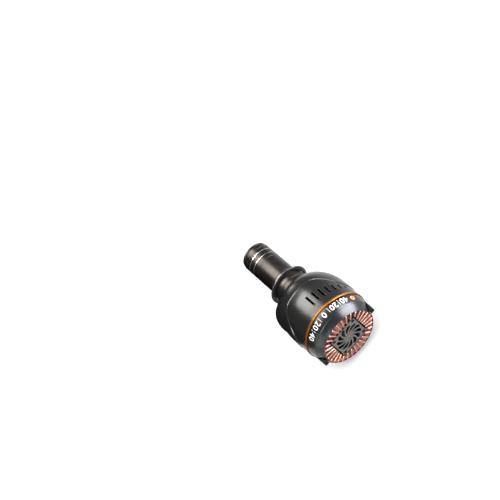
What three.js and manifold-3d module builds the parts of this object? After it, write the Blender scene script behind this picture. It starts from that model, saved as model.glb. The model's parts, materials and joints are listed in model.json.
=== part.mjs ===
// A cooled astronomy camera with its nosepiece, as an assembly of separate parts.
//
// Millimetres. The optical axis is Y and the nosepiece points along +Y; Z is up. The origin is the
// centre of the nosepiece's front rim. A "station" is a distance along the axis, measured forward
// from the camera's rear face. An angle round the axis starts at +Z and grows towards +X.

import * as THREE from 'three';
import { mergeVertices } from 'three/addons/utils/BufferGeometryUtils.js';
import Module from 'manifold-3d';

const wasm = await Module();
wasm.setup();

// ---------------------------------------------------------------- driving dimensions

const LENGTH = 208; // rear face to the nosepiece's front rim
const GAP = 0.3; // clearance between neighbours
const FINE = 48; // facets round the large turned parts
const MEDIUM = 32; // facets round the inner turned parts
const COARSE = 16; // facets round the small turned parts
const SCREW_FACETS = 8;

// housing: outlines are [station, radius]
const REAR_SHELL = [[1, 42.2], [10.5, 47.4], [11.2, 47.9], [26.6, 50.7]];
const REAR_SHELL_INNER = [[26.6, 48.5], [11.2, 45.7], [4, 41.4], [1, 41.4]];
const RING = { from: 27, to: 30.6, radius: 52, bore: 47.5, bevel: 0.9 };
const FRONT_SHELL = [[31, 50.7], [43, 51.6], [58, 51.6], [68, 51.1], [77.6, 49.6]];
const FRONT_SHELL_WALL = 2.2;
const CAP = [[44, 52.4], [62, 52.4], [73, 51.5], [83, 49.1], [90, 46.2], [96, 42.8], [102, 38], [105.5, 34],
  [108, 29.5], [109.4, 26.4]];
const CAP_STATIONS = [44, 62, 73, 79, 84, 90, 96, 100.3, 103.4, 106.5, 108.4, 109.4];
const CAP_SEAT = { station: 102.5, radius: 33.5, bore: 25.4 };
const CAP_INNER = [[109.4, CAP_SEAT.bore], [CAP_SEAT.station, CAP_SEAT.bore],
  [CAP_SEAT.station, CAP_SEAT.radius], [96, 40.2], [90, 43.6], [83, 46.5], [73, 48.9], [62, 49.8],
  [44, 49.8]];

// the cap's left shoulder is fuller than the rest
const SHOULDER = { from: 76, middle: -78, halfSpread: 62, front: 109.4 };
const FULL_SHOULDER = [[76, 50.9], [87.4, 51.2], [96, 49.5], [100.3, 47.5], [103.4, 45.1], [106.5, 40.5],
  [108.4, 33], [109.4, 26.4]];

// the cap reaches back on both sides as a round-tipped tongue, drawn in side view as [station, height]
const TONGUE = { root: [78, 47], pulls: [[66, 35], [46, 30]], tip: [46, 0] };
const PARTING_GAP = 0.6;

// cooling slots: a bank in the upper half of the front shell and one opposite, shorter towards the tongue
const SLOT = { from: 40.5, length: 18.7, width: 3, first: 2.2, pitch: 10.6, perBank: 7 };
const SLOT_TAPER = { angle: 1.2, power: 0.85 };

// neck, lip and nosepiece; the thread between them is a 42 mm one
const NECK = { flange: 32.5, from: 98.5, seat: 101.1, radius: 25, bore: 20, to: 130 };
const NECK_BEAD = { from: 110, top: 110.3, topTo: 111.9, to: 112.4, radius: 26.6 };
const NECK_GROOVE = { from: 117, bottom: 117.5, bottomTo: 118.2, to: 118.7, radius: 24.3 };
const GASKET = { inner: 25.6, outer: 27.6 };
const NECK_SCREW = { reach: 29.9, radius: 1.2, head: 2.1, from: 96.2, headTo: 98.2, to: 105 };
const THREAD = { radius: 21, length: 12.4, clearance: 0.4 };
const LIP = [[127.2, 28], [127.9, 30.4], [128.5, 31], [129.7, 31], [130, 30.6]];
const NOSE = { radius: 22.1, bore: 18.5, spigotFrom: 203, spigot: 20.9, chamfer: 0.3 };

// rear end: finned heat sink round a 45 mm fan
const SINK = { radius: 41, rear: 0, finFloor: 5, pocketFloor: 14, front: 18 };
// the milled valleys between the fins get shallower towards both of their ends
const SINK_DISH = [[2.2, 24], [3.8, 27], [4.8, 30], [5, 33], [4.7, 36], [3.7, 38.5], [2.2, 41]];
const FIN = { count: 30, width: 3, inner: 23.6, outer: 40.9 };
const FAN = { side: 45, cornerRadius: 4, from: 2.6, to: 12.6, bore: 21.4, screwReach: 18.5, strut: 2 };
const FAN_POCKET = 48.4;
const FAN_SCREW = { radius: 1.2, head: 2, from: 1.1, headTo: 3, to: 13.6 };
const COVER = { side: 44.8, from: 0.9, to: 2.3 };
const SWIRL = { slots: 12, first: 25.5, from: 8.4, to: 21, sweep: 27, halfWidth: 2.5, endWidth: 0.9 };
const SWIRL_STEPS = 5;
const ROTOR = { hub: 11, from: 3.4, to: 10.5, chamfer: 0.8, wall: 1.5, floor: 5.1, boss: 2.4, bossTo: 6.7 };
const BLADE = { count: 7, tip: 20.5, root: 10.2, chord: 8.4, pitch: 50, thickness: 0.9 };
const FAN_HUB = { from: 10.9, sleeveFrom: 7.2, sleeve: 3.6, sleeveBore: 2.7, floor: 12.1 };
const BEARING = { bore: 1.3, radius: 2.4, from: 7.5, to: 11.8 };
const STATOR = { bore: 3.9, radius: 9.1, from: 7, to: 10.3 };
const SHAFT = { radius: 1, from: 4.8, to: 11.9 };

// side lugs: outline of [station, reach], with a screw from the rear
const LUG = [[0.3, 42.7], [10.5, 47.9], [16.5, 49], [15.9, 49.2], [1.2, 49.2], [0.3, 48.4]];
const LUG_WIDTH = 9;
const LUG_SCREW = { reach: 46.4, head: 1.6, radius: 0.8, from: 0.5, headTo: 2.2, to: 5.5, socket: 0.9 };

// cooling train and sensor
const HOT_BLOCK = { radius: 20, from: 18.3, to: 38 };
const PELTIER = { from: 38.3, step: 40.3, to: 42.3, wide: 30, narrow: 23 };
const COLD_FINGER = { side: 22, from: 42.6, to: 72.5, clearance: 16.5 };
const SENSOR_PLANE = LENGTH - 78 - 55; // 55 mm behind the front of the lip
const SENSOR = { packageX: 34, packageZ: 24, pocketX: 20, pocketZ: 15.6, dieX: 18.6, dieZ: 14.2 };
const COVER_GLASS = { width: 26, height: 20 };
const SENSOR_BOARD = { radius: 22.7, cutout: 11.6, thickness: 1.1 };
const DESICCANT = { width: 9, height: 3, from: 76.2, to: 81.2, z: -20.2 };
const CHAMBER = { radius: 26, bore: 23.5, from: 68, floor: 71, front: 89.9, flange: 44 };
const WINDOW_SEAT = { bore: 20, coneFrom: 80.6, from: 82.6, to: 84.6 };
const WINDOW = { radius: 22.1, from: 86.7, to: 89.4 };
const SEAL = { radius: 21.2, cord: 0.75 };

// shutter: two leaves that part sideways, each on a pivot above the axis
const SHUTTER = { plateFrom: 90.3, plateTo: 91.5, radius: 40, gateX: 20, gateZ: 16, pivotX: 4.5, pivotZ: 33 };
const LEAF = { thickness: 0.5, width: 12, corner: 2, overlap: 0.7, low: -9.6, high: 9.6 };
const LEAF_ARM = { width: 6, insideFrom: 12.6, outsideFrom: 17.6, hub: 4.2, bore: 1.3 };
const LEAF_STATIONS = { left: 92.1, right: 93 };
const HUB_STATIONS = { from: 92.1, to: 94 };
const PIVOT = { radius: 0.9, hole: 1.5, to: 95 };
const ACTUATOR = { radius: 6, from: 79 };

// boards and the rods that carry them
const ROD = { reach: 36, radius: 1.6, spacer: 3, from: 18.3, to: 67.7 };
const POWER_BOARD = { from: 33, to: 34.6, radius: 45, bore: 21 };
const MAIN_BOARD = { from: 45, to: 46.6, radius: 46, bore: 16.5 };
const BOARD_HOLE = 2;

// sockets in the cap's left tongue: heights are distances from the axis
const USB = { angle: -92, station: 53, width: 8, height: 4, from: 41, to: 51.8, wall: 0.5, depth: 5.5 };
const USB_TONGUE = { width: 5.4, thickness: 0.7, from: 46, to: 51 };
const POWER = { angle: -108, station: 58, radius: 5, box: 10, from: 36, neck: 45, to: 54.2 };
const POWER_WELL = { radius: 2.9, floor: 45.2, pin: 1, pinTo: 53.2 };
const POWER_NUT = { radius: 7.4, from: 52.7, to: 54 };
const SOCKET_OPENING = { clearance: 0.4, from: 44, to: 58 };

// ---------------------------------------------------------------- helpers

const rad = THREE.MathUtils.degToRad;
const at = (station) => station - LENGTH;

// Turned part: an outline of [station, radius] corners, revolved about the axis.
function turned(corners, facets = FINE) {
  const outline = corners.map(([station, radius]) => new THREE.Vector2(radius, at(station)));
  const onAxis = corners[0][1] === 0 && corners.at(-1)[1] === 0;
  if (THREE.ShapeUtils.area(outline) < 0) outline.reverse();
  if (!onAxis) outline.push(outline[0].clone());
  return new THREE.LatheGeometry(outline, facets);
}

// Hollow turned part: an outer outline and the same outline moved inwards by the wall.
function shell(outer, wall) {
  const inner = outer.map(([station, radius]) => [station, radius - wall]).reverse();
  return turned([...outer, ...inner]);
}

// Plate square to the axis: a shape in X and Z between two stations.
function plate(shape, from, to, curveSegments = 8) {
  const geometry = new THREE.ExtrudeGeometry(shape, { depth: to - from, bevelEnabled: false, curveSegments });
  return geometry.rotateX(Math.PI / 2).translate(0, at(to), 0);
}

// Rod parallel to the axis.
function rod(radius, from, to, x = 0, z = 0, facets = COARSE) {
  const geometry = new THREE.CylinderGeometry(radius, radius, to - from, facets);
  return geometry.translate(x, at((from + to) / 2), z);
}

// Block with its sides along X, Y and Z.
function block(width, height, from, to, x = 0, z = 0) {
  return new THREE.BoxGeometry(width, to - from, height).translate(x, at((from + to) / 2), z);
}

// Rod pointing straight out from the axis at one station, lying along +Z.
function spoke(radius, inner, outer, station, facets = COARSE) {
  const geometry = new THREE.CylinderGeometry(radius, radius, outer - inner, facets);
  return geometry.rotateX(Math.PI / 2).translate(0, at(station), (inner + outer) / 2);
}

const roundAxis = (geometry, degrees) => geometry.rotateY(rad(degrees));

function solid(geometry) {
  const bare = geometry.clone();
  bare.deleteAttribute('normal');
  bare.deleteAttribute('uv');
  const merged = mergeVertices(bare, 1e-5);
  const vertProperties = new Float32Array(merged.attributes.position.array);
  const triVerts = new Uint32Array(merged.index.array);
  return new wasm.Manifold(new wasm.Mesh({ numProp: 3, vertProperties, triVerts }));
}

function geometryOf(body) {
  const { vertProperties, triVerts, numProp } = body.getMesh();
  const positions = new Float32Array((vertProperties.length / numProp) * 3);
  for (let i = 0; i < positions.length / 3; i += 1) {
    positions.set(vertProperties.subarray(i * numProp, i * numProp + 3), i * 3);
  }
  const geometry = new THREE.BufferGeometry();
  geometry.setAttribute('position', new THREE.BufferAttribute(positions, 3));
  geometry.setIndex(new THREE.BufferAttribute(new Uint32Array(triVerts), 1));
  geometry.computeVertexNormals();
  return geometry;
}

function cut(base, ...tools) {
  return geometryOf(tools.reduce((body, tool) => body.subtract(solid(tool)), solid(base)));
}

function join(base, ...others) {
  return geometryOf(others.reduce((body, other) => body.add(solid(other)), solid(base)));
}

function roundedSquare(side, radius) {
  const half = side / 2;
  const inner = half - radius;
  const shape = new THREE.Shape();
  shape.moveTo(half, -inner);
  const corners = [[inner, inner, 0], [-inner, inner, 90], [-inner, -inner, 180], [inner, -inner, 270]];
  corners.forEach(([x, y, start]) => shape.absarc(x, y, radius, rad(start), rad(start + 90), false));
  return shape;
}

function disc(radius) {
  return new THREE.Shape().absarc(0, 0, radius, 0, 2 * Math.PI, false);
}

function hole(shape, radius, x, y) {
  shape.holes.push(new THREE.Path().absarc(x, y, radius, 0, 2 * Math.PI, true));
}

const diagonalAngles = [45, 135, 225, 315];
const onCircle = (reach, degrees) => [reach * Math.sin(rad(degrees)), reach * Math.cos(rad(degrees))];

// ---------------------------------------------------------------- materials

function finish(color, roughness, metalness) {
  return new THREE.MeshStandardMaterial({ color, roughness, metalness });
}

const look = {
  graphite: finish(0x4a4a4c, 0.42, 0.6),
  charcoal: finish(0x3c3f45, 0.45, 0.5),
  orange: finish(0xf08a2a, 0.3, 0.7),
  copper: finish(0xc9705a, 0.35, 0.9),
  nickel: finish(0xa7a29e, 0.35, 0.8),
  gunmetal: finish(0x7a736e, 0.3, 0.9),
  blackMetal: finish(0x1c1c1e, 0.4, 0.6),
  blackPlastic: finish(0x151517, 0.3, 0),
  rubber: finish(0x0e0e0e, 0.8, 0),
  steel: finish(0xb8b9bb, 0.3, 1),
  brass: finish(0xc8a24a, 0.3, 0.9),
  board: finish(0x1f5a3a, 0.5, 0),
  ceramic: finish(0xe8e6e0, 0.6, 0),
  darkCeramic: finish(0x55504c, 0.6, 0),
  silicon: finish(0x3a4a5a, 0.15, 0.3),
  glass: finish(0xdfeef0, 0.05, 0),
};

// ---------------------------------------------------------------- housing

const rearShell = () => turned([...REAR_SHELL, ...REAR_SHELL_INNER]);

function trimRing() {
  const { from, to, radius, bore, bevel } = RING;
  return turned([[from, bore], [from, radius - bevel], [from + bevel, radius], [to - bevel, radius],
    [to, radius - bevel], [to, bore]]);
}

// Everything in front of the parting line, drawn in side view and carried right across the body.
function partingCutter(setBack) {
  const [root, pull, roundPull, tip] = [TONGUE.root, ...TONGUE.pulls, TONGUE.tip]
    .map(([station, height]) => [station - setBack, height]);
  const high = RING.radius + 8;
  const shape = new THREE.Shape();
  shape.moveTo(root[0], high);
  shape.lineTo(...root);
  shape.bezierCurveTo(...pull, ...roundPull, ...tip);
  shape.bezierCurveTo(roundPull[0], -roundPull[1], pull[0], -pull[1], root[0], -root[1]);
  shape.lineTo(root[0], -high);
  shape.lineTo(LENGTH, -high);
  shape.lineTo(LENGTH, high);
  const width = 2 * high;
  const geometry = new THREE.ExtrudeGeometry(shape, { depth: width, bevelEnabled: false, curveSegments: 8 });
  const sideways = new THREE.Matrix4().makeBasis(
    new THREE.Vector3(0, 1, 0), new THREE.Vector3(0, 0, 1), new THREE.Vector3(1, 0, 0));
  return geometry.applyMatrix4(sideways).translate(-width / 2, at(0), 0);
}

function slotCutters(bankStart) {
  const { from, length, width, first, pitch, perBank } = SLOT;
  const depth = 6 * FRONT_SHELL_WALL;
  return Array.from({ length: perBank }, (_, i) => {
    const angle = first + i * pitch;
    const slotLength = length * Math.cos(rad(SLOT_TAPER.angle * angle)) ** SLOT_TAPER.power;
    return roundAxis(block(width, depth, from, from + slotLength, 0, FRONT_SHELL[0][1]), bankStart + angle);
  });
}

function frontShell() {
  const whole = shell(FRONT_SHELL, FRONT_SHELL_WALL);
  return cut(whole, partingCutter(PARTING_GAP), ...slotCutters(0), ...slotCutters(180));
}

function radiusOn(outline, station) {
  const after = outline.findIndex(([s]) => s >= station);
  if (after <= 0) return outline[after === 0 ? 0 : outline.length - 1][1];
  const [[s0, r0], [s1, r1]] = [outline[after - 1], outline[after]];
  return r0 + ((r1 - r0) * (station - s0)) / (s1 - s0);
}

// The cap's outer radius at a station and angle, with the fuller left shoulder blended in.
function capRadius(station, degrees) {
  const base = radiusOn(CAP, station);
  if (station <= SHOULDER.from || station >= SHOULDER.front) return base;
  const away = Math.abs(((degrees - SHOULDER.middle + 540) % 360) - 180) / SHOULDER.halfSpread;
  const share = away >= 1 ? 0 : Math.cos((Math.PI / 2) * away) ** 2;
  return base + (radiusOn(FULL_SHOULDER, station) - base) * share;
}

// A closed ring-shaped body whose outer and inner radii may change round the axis.
function sculpted(outerStations, outerRadius, inner, facets) {
  const rows = [...outerStations.map((station) => (angle) => [station, outerRadius(station, angle)]),
    ...inner.map((corner) => () => corner)];
  const positions = [];
  const indices = [];
  for (let i = 0; i < facets; i += 1) {
    const degrees = (i * 360) / facets;
    rows.forEach((row) => {
      const [station, radius] = row(degrees);
      positions.push(radius * Math.sin(rad(degrees)), at(station), radius * Math.cos(rad(degrees)));
    });
  }
  const vertex = (i, j) => (i % facets) * rows.length + (j % rows.length);
  for (let i = 0; i < facets; i += 1) {
    for (let j = 0; j < rows.length; j += 1) {
      indices.push(vertex(i, j), vertex(i + 1, j), vertex(i, j + 1));
      indices.push(vertex(i + 1, j), vertex(i + 1, j + 1), vertex(i, j + 1));
    }
  }
  const geometry = new THREE.BufferGeometry();
  geometry.setAttribute('position', new THREE.Float32BufferAttribute(positions, 3));
  geometry.setIndex(indices);
  return geometry;
}

const neckScrewAngles = [60, 180, 300];

function neckScrewHoles(from, to) {
  return neckScrewAngles.map((angle) => {
    const [x, z] = onCircle(NECK_SCREW.reach, angle);
    return rod(NECK_SCREW.radius + GAP, from, to, x, z, SCREW_FACETS);
  });
}

function socketOpenings() {
  const { clearance, from, to } = SOCKET_OPENING;
  const half = USB.height / 2 + clearance;
  const middle = (from + to) / 2;
  const usb = block(USB.width + 2 * clearance, to - from, USB.station - half, USB.station + half, 0, middle);
  const power = spoke(POWER.radius + clearance, from, to, POWER.station);
  return [roundAxis(usb, USB.angle), roundAxis(power, POWER.angle)];
}

function frontCap() {
  const body = sculpted(CAP_STATIONS, capRadius, CAP_INNER, FINE);
  const parted = geometryOf(solid(body).intersect(solid(partingCutter(0))));
  return cut(parted, ...neckScrewHoles(CAP_SEAT.station - 1, NECK_SCREW.to + GAP), ...socketOpenings());
}

// ---------------------------------------------------------------- neck, lip and nosepiece

function neck() {
  const { flange, from, seat, radius, bore, to } = NECK;
  const { from: beadFrom, top, topTo, to: beadTo, radius: bead } = NECK_BEAD;
  const groove = NECK_GROOVE;
  const threadFrom = to - THREAD.length;
  const thread = THREAD.radius + THREAD.clearance;
  const body = turned([[from, bore], [from, flange], [seat, flange], [seat, radius],
    [beadFrom, radius], [top, bead], [topTo, bead], [beadTo, radius], [groove.from, radius],
    [groove.bottom, groove.radius], [groove.bottomTo, groove.radius], [groove.to, radius],
    [to, radius], [to, thread], [threadFrom, thread], [threadFrom, bore]]);
  return cut(body, ...neckScrewHoles(from - 1, seat + 1));
}

function neckGasket() {
  const [from, to] = [NECK.seat + GAP, CAP_SEAT.station - GAP];
  const { inner, outer } = GASKET;
  return turned([[from, inner], [from, outer], [to, outer], [to, inner]], MEDIUM);
}

function lipRing() {
  const bore = NECK.radius + GAP;
  return turned([[LIP[0][0], bore], ...LIP, [LIP.at(-1)[0], bore]]);
}

function nosepieceTube() {
  const { radius, bore, spigotFrom, spigot, chamfer } = NOSE;
  const threadFrom = NECK.to - THREAD.length + GAP;
  const shoulder = NECK.to + GAP;
  return turned([[threadFrom, bore], [threadFrom, THREAD.radius], [shoulder, THREAD.radius],
    [shoulder, radius], [spigotFrom, radius], [spigotFrom, spigot], [LENGTH - chamfer, spigot],
    [LENGTH, spigot - chamfer], [LENGTH, bore]]);
}

// A screw pointing forwards: a round head and a plain shank.
function screw({ radius, head, from, headTo, to }) {
  const outline = [[from, 0], [from, head], [headTo, head], [headTo, radius], [to, radius], [to, 0]];
  return turned(outline, SCREW_FACETS);
}

function neckScrew(angle) {
  const [x, z] = onCircle(NECK_SCREW.reach, angle);
  return screw(NECK_SCREW).translate(x, 0, z);
}

// ---------------------------------------------------------------- heat sink and fan

function heatSink() {
  const { radius, rear, finFloor, pocketFloor, front } = SINK;
  const { count, width, inner, outer } = FIN;
  const body = turned([[SINK_DISH[0][0], 0], ...SINK_DISH, [front, radius], [front, 0]]);
  const fins = Array.from({ length: count }, (_, i) => {
    const fin = block(width, outer - inner, rear, finFloor + 1, 0, (inner + outer) / 2);
    return roundAxis(fin, (i * 360) / count);
  });
  return cut(join(body, ...fins), block(FAN_POCKET, FAN_POCKET, rear - 1, pocketFloor));
}

const fanScrewPlaces = diagonalAngles.map((angle) => onCircle(FAN.screwReach * Math.SQRT2, angle));

// One swirling slot: a crescent that sweeps round as it runs outwards, widest at its middle.
function swirlSlot(start) {
  const { from, to, sweep, halfWidth, endWidth } = SWIRL;
  const side = (hand) => Array.from({ length: SWIRL_STEPS + 1 }, (_, i) => {
    const t = i / SWIRL_STEPS;
    const distance = from + (to - from) * t;
    const half = endWidth + (halfWidth - endWidth) * Math.sin(Math.PI * t);
    const angle = start - rad(sweep) * t + (hand * half) / distance;
    return new THREE.Vector2(distance * Math.cos(angle), distance * Math.sin(angle));
  });
  return new THREE.Path([...side(-1), ...side(1).reverse()]);
}

function fanCover() {
  const shape = roundedSquare(COVER.side, FAN.cornerRadius);
  for (let i = 0; i < SWIRL.slots; i += 1) {
    shape.holes.push(swirlSlot(rad(SWIRL.first + (i * 360) / SWIRL.slots)));
  }
  fanScrewPlaces.forEach(([x, z]) => hole(shape, FAN_SCREW.head + GAP, x, z));
  return plate(shape, COVER.from, COVER.to, 3);
}

function fanFrame() {
  const { side, cornerRadius, from, to, bore, strut } = FAN;
  const { from: hubFrom, sleeveFrom, sleeve, sleeveBore, floor } = FAN_HUB;
  const shape = roundedSquare(side, cornerRadius);
  hole(shape, bore, 0, 0);
  fanScrewPlaces.forEach(([x, z]) => hole(shape, FAN_SCREW.head + GAP, x, z));
  const ring = plate(shape, from, to, 6);
  const hub = turned([[hubFrom, 0], [hubFrom, ROTOR.hub], [to, ROTOR.hub], [to, 0]], COARSE);
  const tube = rod(sleeve, sleeveFrom, floor, 0, 0, COARSE);
  const struts = [20, 110, 200, 290].map((angle) => {
    const bar = block(strut, bore - ROTOR.hub + 2, hubFrom, to, 0, (bore + ROTOR.hub) / 2);
    return roundAxis(bar, angle);
  });
  return cut(join(ring, hub, tube, ...struts), rod(sleeveBore, from, floor, 0, 0, COARSE));
}

const fanScrew = (x, z) => screw(FAN_SCREW).translate(x, 0, z);

function fanRotor() {
  const { hub, from, to, chamfer, wall, floor, boss, bossTo } = ROTOR;
  const { count, tip, root, chord, pitch, thickness } = BLADE;
  const bore = SHAFT.radius + GAP;
  const boreFrom = SHAFT.from - GAP;
  const cup = turned([[from, 0], [from, hub - chamfer], [from + chamfer, hub], [to, hub],
    [to, hub - wall], [floor, hub - wall], [floor, boss], [bossTo, boss], [bossTo, bore],
    [boreFrom, bore], [boreFrom, 0]], COARSE);
  const blades = Array.from({ length: count }, (_, i) => {
    const plank = new THREE.BoxGeometry(thickness, chord, tip - root);
    plank.rotateZ(rad(90 - pitch)).translate(0, at((from + to) / 2), (tip + root) / 2);
    return roundAxis(plank, (i * 360) / count);
  });
  return join(cup, ...blades);
}

const fanShaft = () => rod(SHAFT.radius, SHAFT.from, SHAFT.to, 0, 0, SCREW_FACETS);

function bush({ bore, radius, from, to }) {
  return turned([[from, bore], [from, radius], [to, radius], [to, bore]], COARSE);
}

// ---------------------------------------------------------------- side lugs

function lug() {
  const { head, radius, from, headTo, to, reach } = LUG_SCREW;
  const side = new THREE.Shape(LUG.map(([station, face]) => new THREE.Vector2(face, at(station))));
  const body = new THREE.ExtrudeGeometry(side, { depth: LUG_WIDTH, bevelEnabled: false });
  const counterbore = rod(head + GAP, from - 1, headTo + GAP, reach, 0);
  const bore = rod(radius + GAP, headTo, to + GAP, reach, 0);
  return cut(body.translate(0, 0, -LUG_WIDTH / 2), counterbore, bore);
}

function lugScrew() {
  const { from, reach, socket } = LUG_SCREW;
  return cut(screw(LUG_SCREW), rod(socket, from - 1, from + socket, 0, 0, 6)).translate(reach, 0, 0);
}

// ---------------------------------------------------------------- cooling train, sensor and chamber

const hotBlock = () => rod(HOT_BLOCK.radius, HOT_BLOCK.from, HOT_BLOCK.to, 0, 0, MEDIUM);

function peltierModule() {
  const { from, step, to, wide, narrow } = PELTIER;
  return join(block(wide, wide, from, step), block(narrow, narrow, step - 0.1, to));
}

const coldFinger = () => block(COLD_FINGER.side, COLD_FINGER.side, COLD_FINGER.from, COLD_FINGER.to);

function chamberHousing() {
  const { radius, bore, from, floor, front, flange } = CHAMBER;
  const seat = WINDOW_SEAT;
  const pocket = WINDOW.radius + GAP;
  const hole = COLD_FINGER.clearance;
  return turned([[from, hole], [from, flange], [floor, flange], [floor, radius], [front, radius],
    [front, pocket], [seat.to, pocket], [seat.to, seat.bore], [seat.from, seat.bore], [seat.coneFrom, bore],
    [floor, bore], [floor, hole]], MEDIUM);
}

const chamberWindow = () => rod(WINDOW.radius, WINDOW.from, WINDOW.to, 0, 0, MEDIUM);

function windowSeal() {
  const { radius, cord } = SEAL;
  const middle = WINDOW_SEAT.to + GAP + cord;
  return new THREE.TorusGeometry(radius, cord, 6, 24).rotateX(Math.PI / 2).translate(0, at(middle), 0);
}

// The package is an open tray; the die lies on its floor with its face in the sensor plane.
function sensorPackage() {
  const { packageX, packageZ, pocketX, pocketZ } = SENSOR;
  const body = block(packageX, packageZ, SENSOR_PLANE - 2.2, SENSOR_PLANE + 0.8);
  return cut(body, block(pocketX, pocketZ, SENSOR_PLANE - 0.7, SENSOR_PLANE + 2));
}

const sensorDie = () => block(SENSOR.dieX, SENSOR.dieZ, SENSOR_PLANE - 0.4, SENSOR_PLANE);

function sensorCoverGlass() {
  return block(COVER_GLASS.width, COVER_GLASS.height, SENSOR_PLANE + 1.1, SENSOR_PLANE + 1.9);
}

function rectangleHole(shape, halfX, halfZ) {
  const corners = [[-halfX, -halfZ], [-halfX, halfZ], [halfX, halfZ], [halfX, -halfZ]];
  shape.holes.push(new THREE.Path(corners.map(([x, z]) => new THREE.Vector2(x, z))));
}

function sensorBoard() {
  const { radius, cutout, thickness } = SENSOR_BOARD;
  const shape = disc(radius);
  rectangleHole(shape, cutout, cutout);
  const from = CHAMBER.floor + GAP;
  return plate(shape, from, from + thickness, 12);
}

function desiccantCapsule() {
  const { width, height, from, to, z } = DESICCANT;
  return block(width, height, from, to, 0, z);
}

// ---------------------------------------------------------------- shutter

function shutterPlate() {
  const { plateFrom, plateTo, radius, gateX, gateZ, pivotX, pivotZ } = SHUTTER;
  const shape = disc(radius);
  rectangleHole(shape, gateX / 2, gateZ / 2);
  hole(shape, PIVOT.hole, -pivotX, pivotZ);
  return plate(shape, plateFrom, plateTo, 14);
}

// One leaf, drawn for the +X side: a paddle over its half of the gate, hung from a round hub.
function shutterLeaf(hand) {
  const { thickness, width, corner, overlap, low, high } = LEAF;
  const { width: arm, insideFrom, outsideFrom, hub, bore } = LEAF_ARM;
  const { pivotX, pivotZ } = SHUTTER;
  const station = hand > 0 ? LEAF_STATIONS.right : LEAF_STATIONS.left;
  const [armLeft, armRight] = [pivotX - arm / 2, pivotX + arm / 2];
  const outline = [[-overlap, low], [width - corner, low], [width, low + corner], [width, high - corner],
    [armRight, outsideFrom], [armRight, pivotZ], [armLeft, pivotZ], [armLeft, insideFrom],
    [-overlap, high]];
  const points = outline.map(([x, z]) => new THREE.Vector2(hand * x, z));
  const paddle = plate(new THREE.Shape(points), station, station + thickness);
  const boss = rod(hub, HUB_STATIONS.from, HUB_STATIONS.to, hand * pivotX, pivotZ);
  const pivotHole = rod(bore, HUB_STATIONS.from - 1, HUB_STATIONS.to + 1, hand * pivotX, pivotZ);
  return cut(join(paddle, boss), pivotHole);
}

function shutterActuator() {
  const { radius, from } = ACTUATOR;
  const front = SHUTTER.plateFrom - GAP;
  const body = turned([[from, 0], [from, radius], [front, radius], [front, PIVOT.radius],
    [PIVOT.to, PIVOT.radius], [PIVOT.to, 0]], COARSE);
  return body.translate(-SHUTTER.pivotX, 0, SHUTTER.pivotZ);
}

function shutterPin() {
  return rod(PIVOT.radius, SHUTTER.plateTo + GAP, PIVOT.to, SHUTTER.pivotX, SHUTTER.pivotZ, SCREW_FACETS);
}

// ---------------------------------------------------------------- boards, rods and sockets

function board({ from, to, radius, bore }) {
  const shape = disc(radius);
  hole(shape, bore, 0, 0);
  diagonalAngles.forEach((angle) => hole(shape, BOARD_HOLE, ...onCircle(ROD.reach, angle)));
  return plate(shape, from, to, 10);
}

// A thin rod through both boards with a thicker spacer in each space between them.
function frameRod(angle) {
  const { reach, radius, spacer, from, to } = ROD;
  const [x, z] = onCircle(reach, angle);
  const spacers = [[from, POWER_BOARD.from - GAP], [POWER_BOARD.to + GAP, MAIN_BOARD.from - GAP],
    [MAIN_BOARD.to + GAP, to]];
  const corners = spacers.flatMap(([low, high]) => (
    [[low, radius], [low, spacer], [high, spacer], [high, radius]]));
  corners[0][1] = 0;
  corners.at(-1)[1] = 0;
  return turned(corners, SCREW_FACETS).translate(x, 0, z);
}

function usbSocket() {
  const { angle, station, width, height, from, to, wall, depth } = USB;
  const tongue = USB_TONGUE;
  const half = height / 2;
  const body = block(width, to - from, station - half, station + half, 0, (from + to) / 2);
  const mouth = block(width - 2 * wall, depth + 1, station - half + wall, station + half - wall, 0,
    to - (depth - 1) / 2);
  const contacts = block(tongue.width, tongue.to - tongue.from, station - tongue.thickness / 2,
    station + tongue.thickness / 2, 0, (tongue.from + tongue.to) / 2);
  return roundAxis(join(cut(body, mouth), contacts), angle);
}

function powerSocket() {
  const { angle, station, radius, box, from, neck: collar, to } = POWER;
  const { radius: bore, floor, pin, pinTo } = POWER_WELL;
  const body = block(box, collar - from, station - box / 2, station + box / 2, 0, (from + collar) / 2);
  const barrel = spoke(radius, collar - 1, to, station);
  const well = spoke(bore, floor, to + 1, station);
  const contact = spoke(pin, floor - 1, pinTo, station);
  return roundAxis(join(cut(join(body, barrel), well), contact), angle);
}

function powerSocketNut() {
  const { radius, from, to } = POWER_NUT;
  const hexagon = spoke(radius, from, to, POWER.station, 6);
  const bore = spoke(POWER.radius + GAP, from - 1, to + 1, POWER.station);
  return roundAxis(cut(hexagon, bore), POWER.angle);
}

// ---------------------------------------------------------------- assembly

const camera = new THREE.Group();

function add(name, geometry, material) {
  const mesh = new THREE.Mesh(geometry, material);
  mesh.name = name;
  camera.add(mesh);
  return mesh;
}

add('rear_shell', rearShell(), look.charcoal);
add('trim_ring', trimRing(), look.orange);
add('front_shell', frontShell(), look.graphite);
add('front_cap', frontCap(), look.graphite);

add('neck', neck(), look.gunmetal);
add('neck_gasket', neckGasket(), look.rubber);
neckScrewAngles.forEach((angle, i) => add(`neck_screw_${i + 1}`, neckScrew(angle), look.steel));
add('lip_ring', lipRing(), look.blackMetal);
add('nosepiece_tube', nosepieceTube(), look.gunmetal);

add('heat_sink', heatSink(), look.copper);
add('fan_cover', fanCover(), look.nickel);
add('fan_frame', fanFrame(), look.blackPlastic);
add('fan_stator', bush(STATOR), look.copper);
add('fan_bearing', bush(BEARING), look.brass);
add('fan_rotor', fanRotor(), look.blackPlastic);
add('fan_shaft', fanShaft(), look.steel);
fanScrewPlaces.forEach(([x, z], i) => add(`fan_screw_${i + 1}`, fanScrew(x, z), look.steel));

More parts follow.
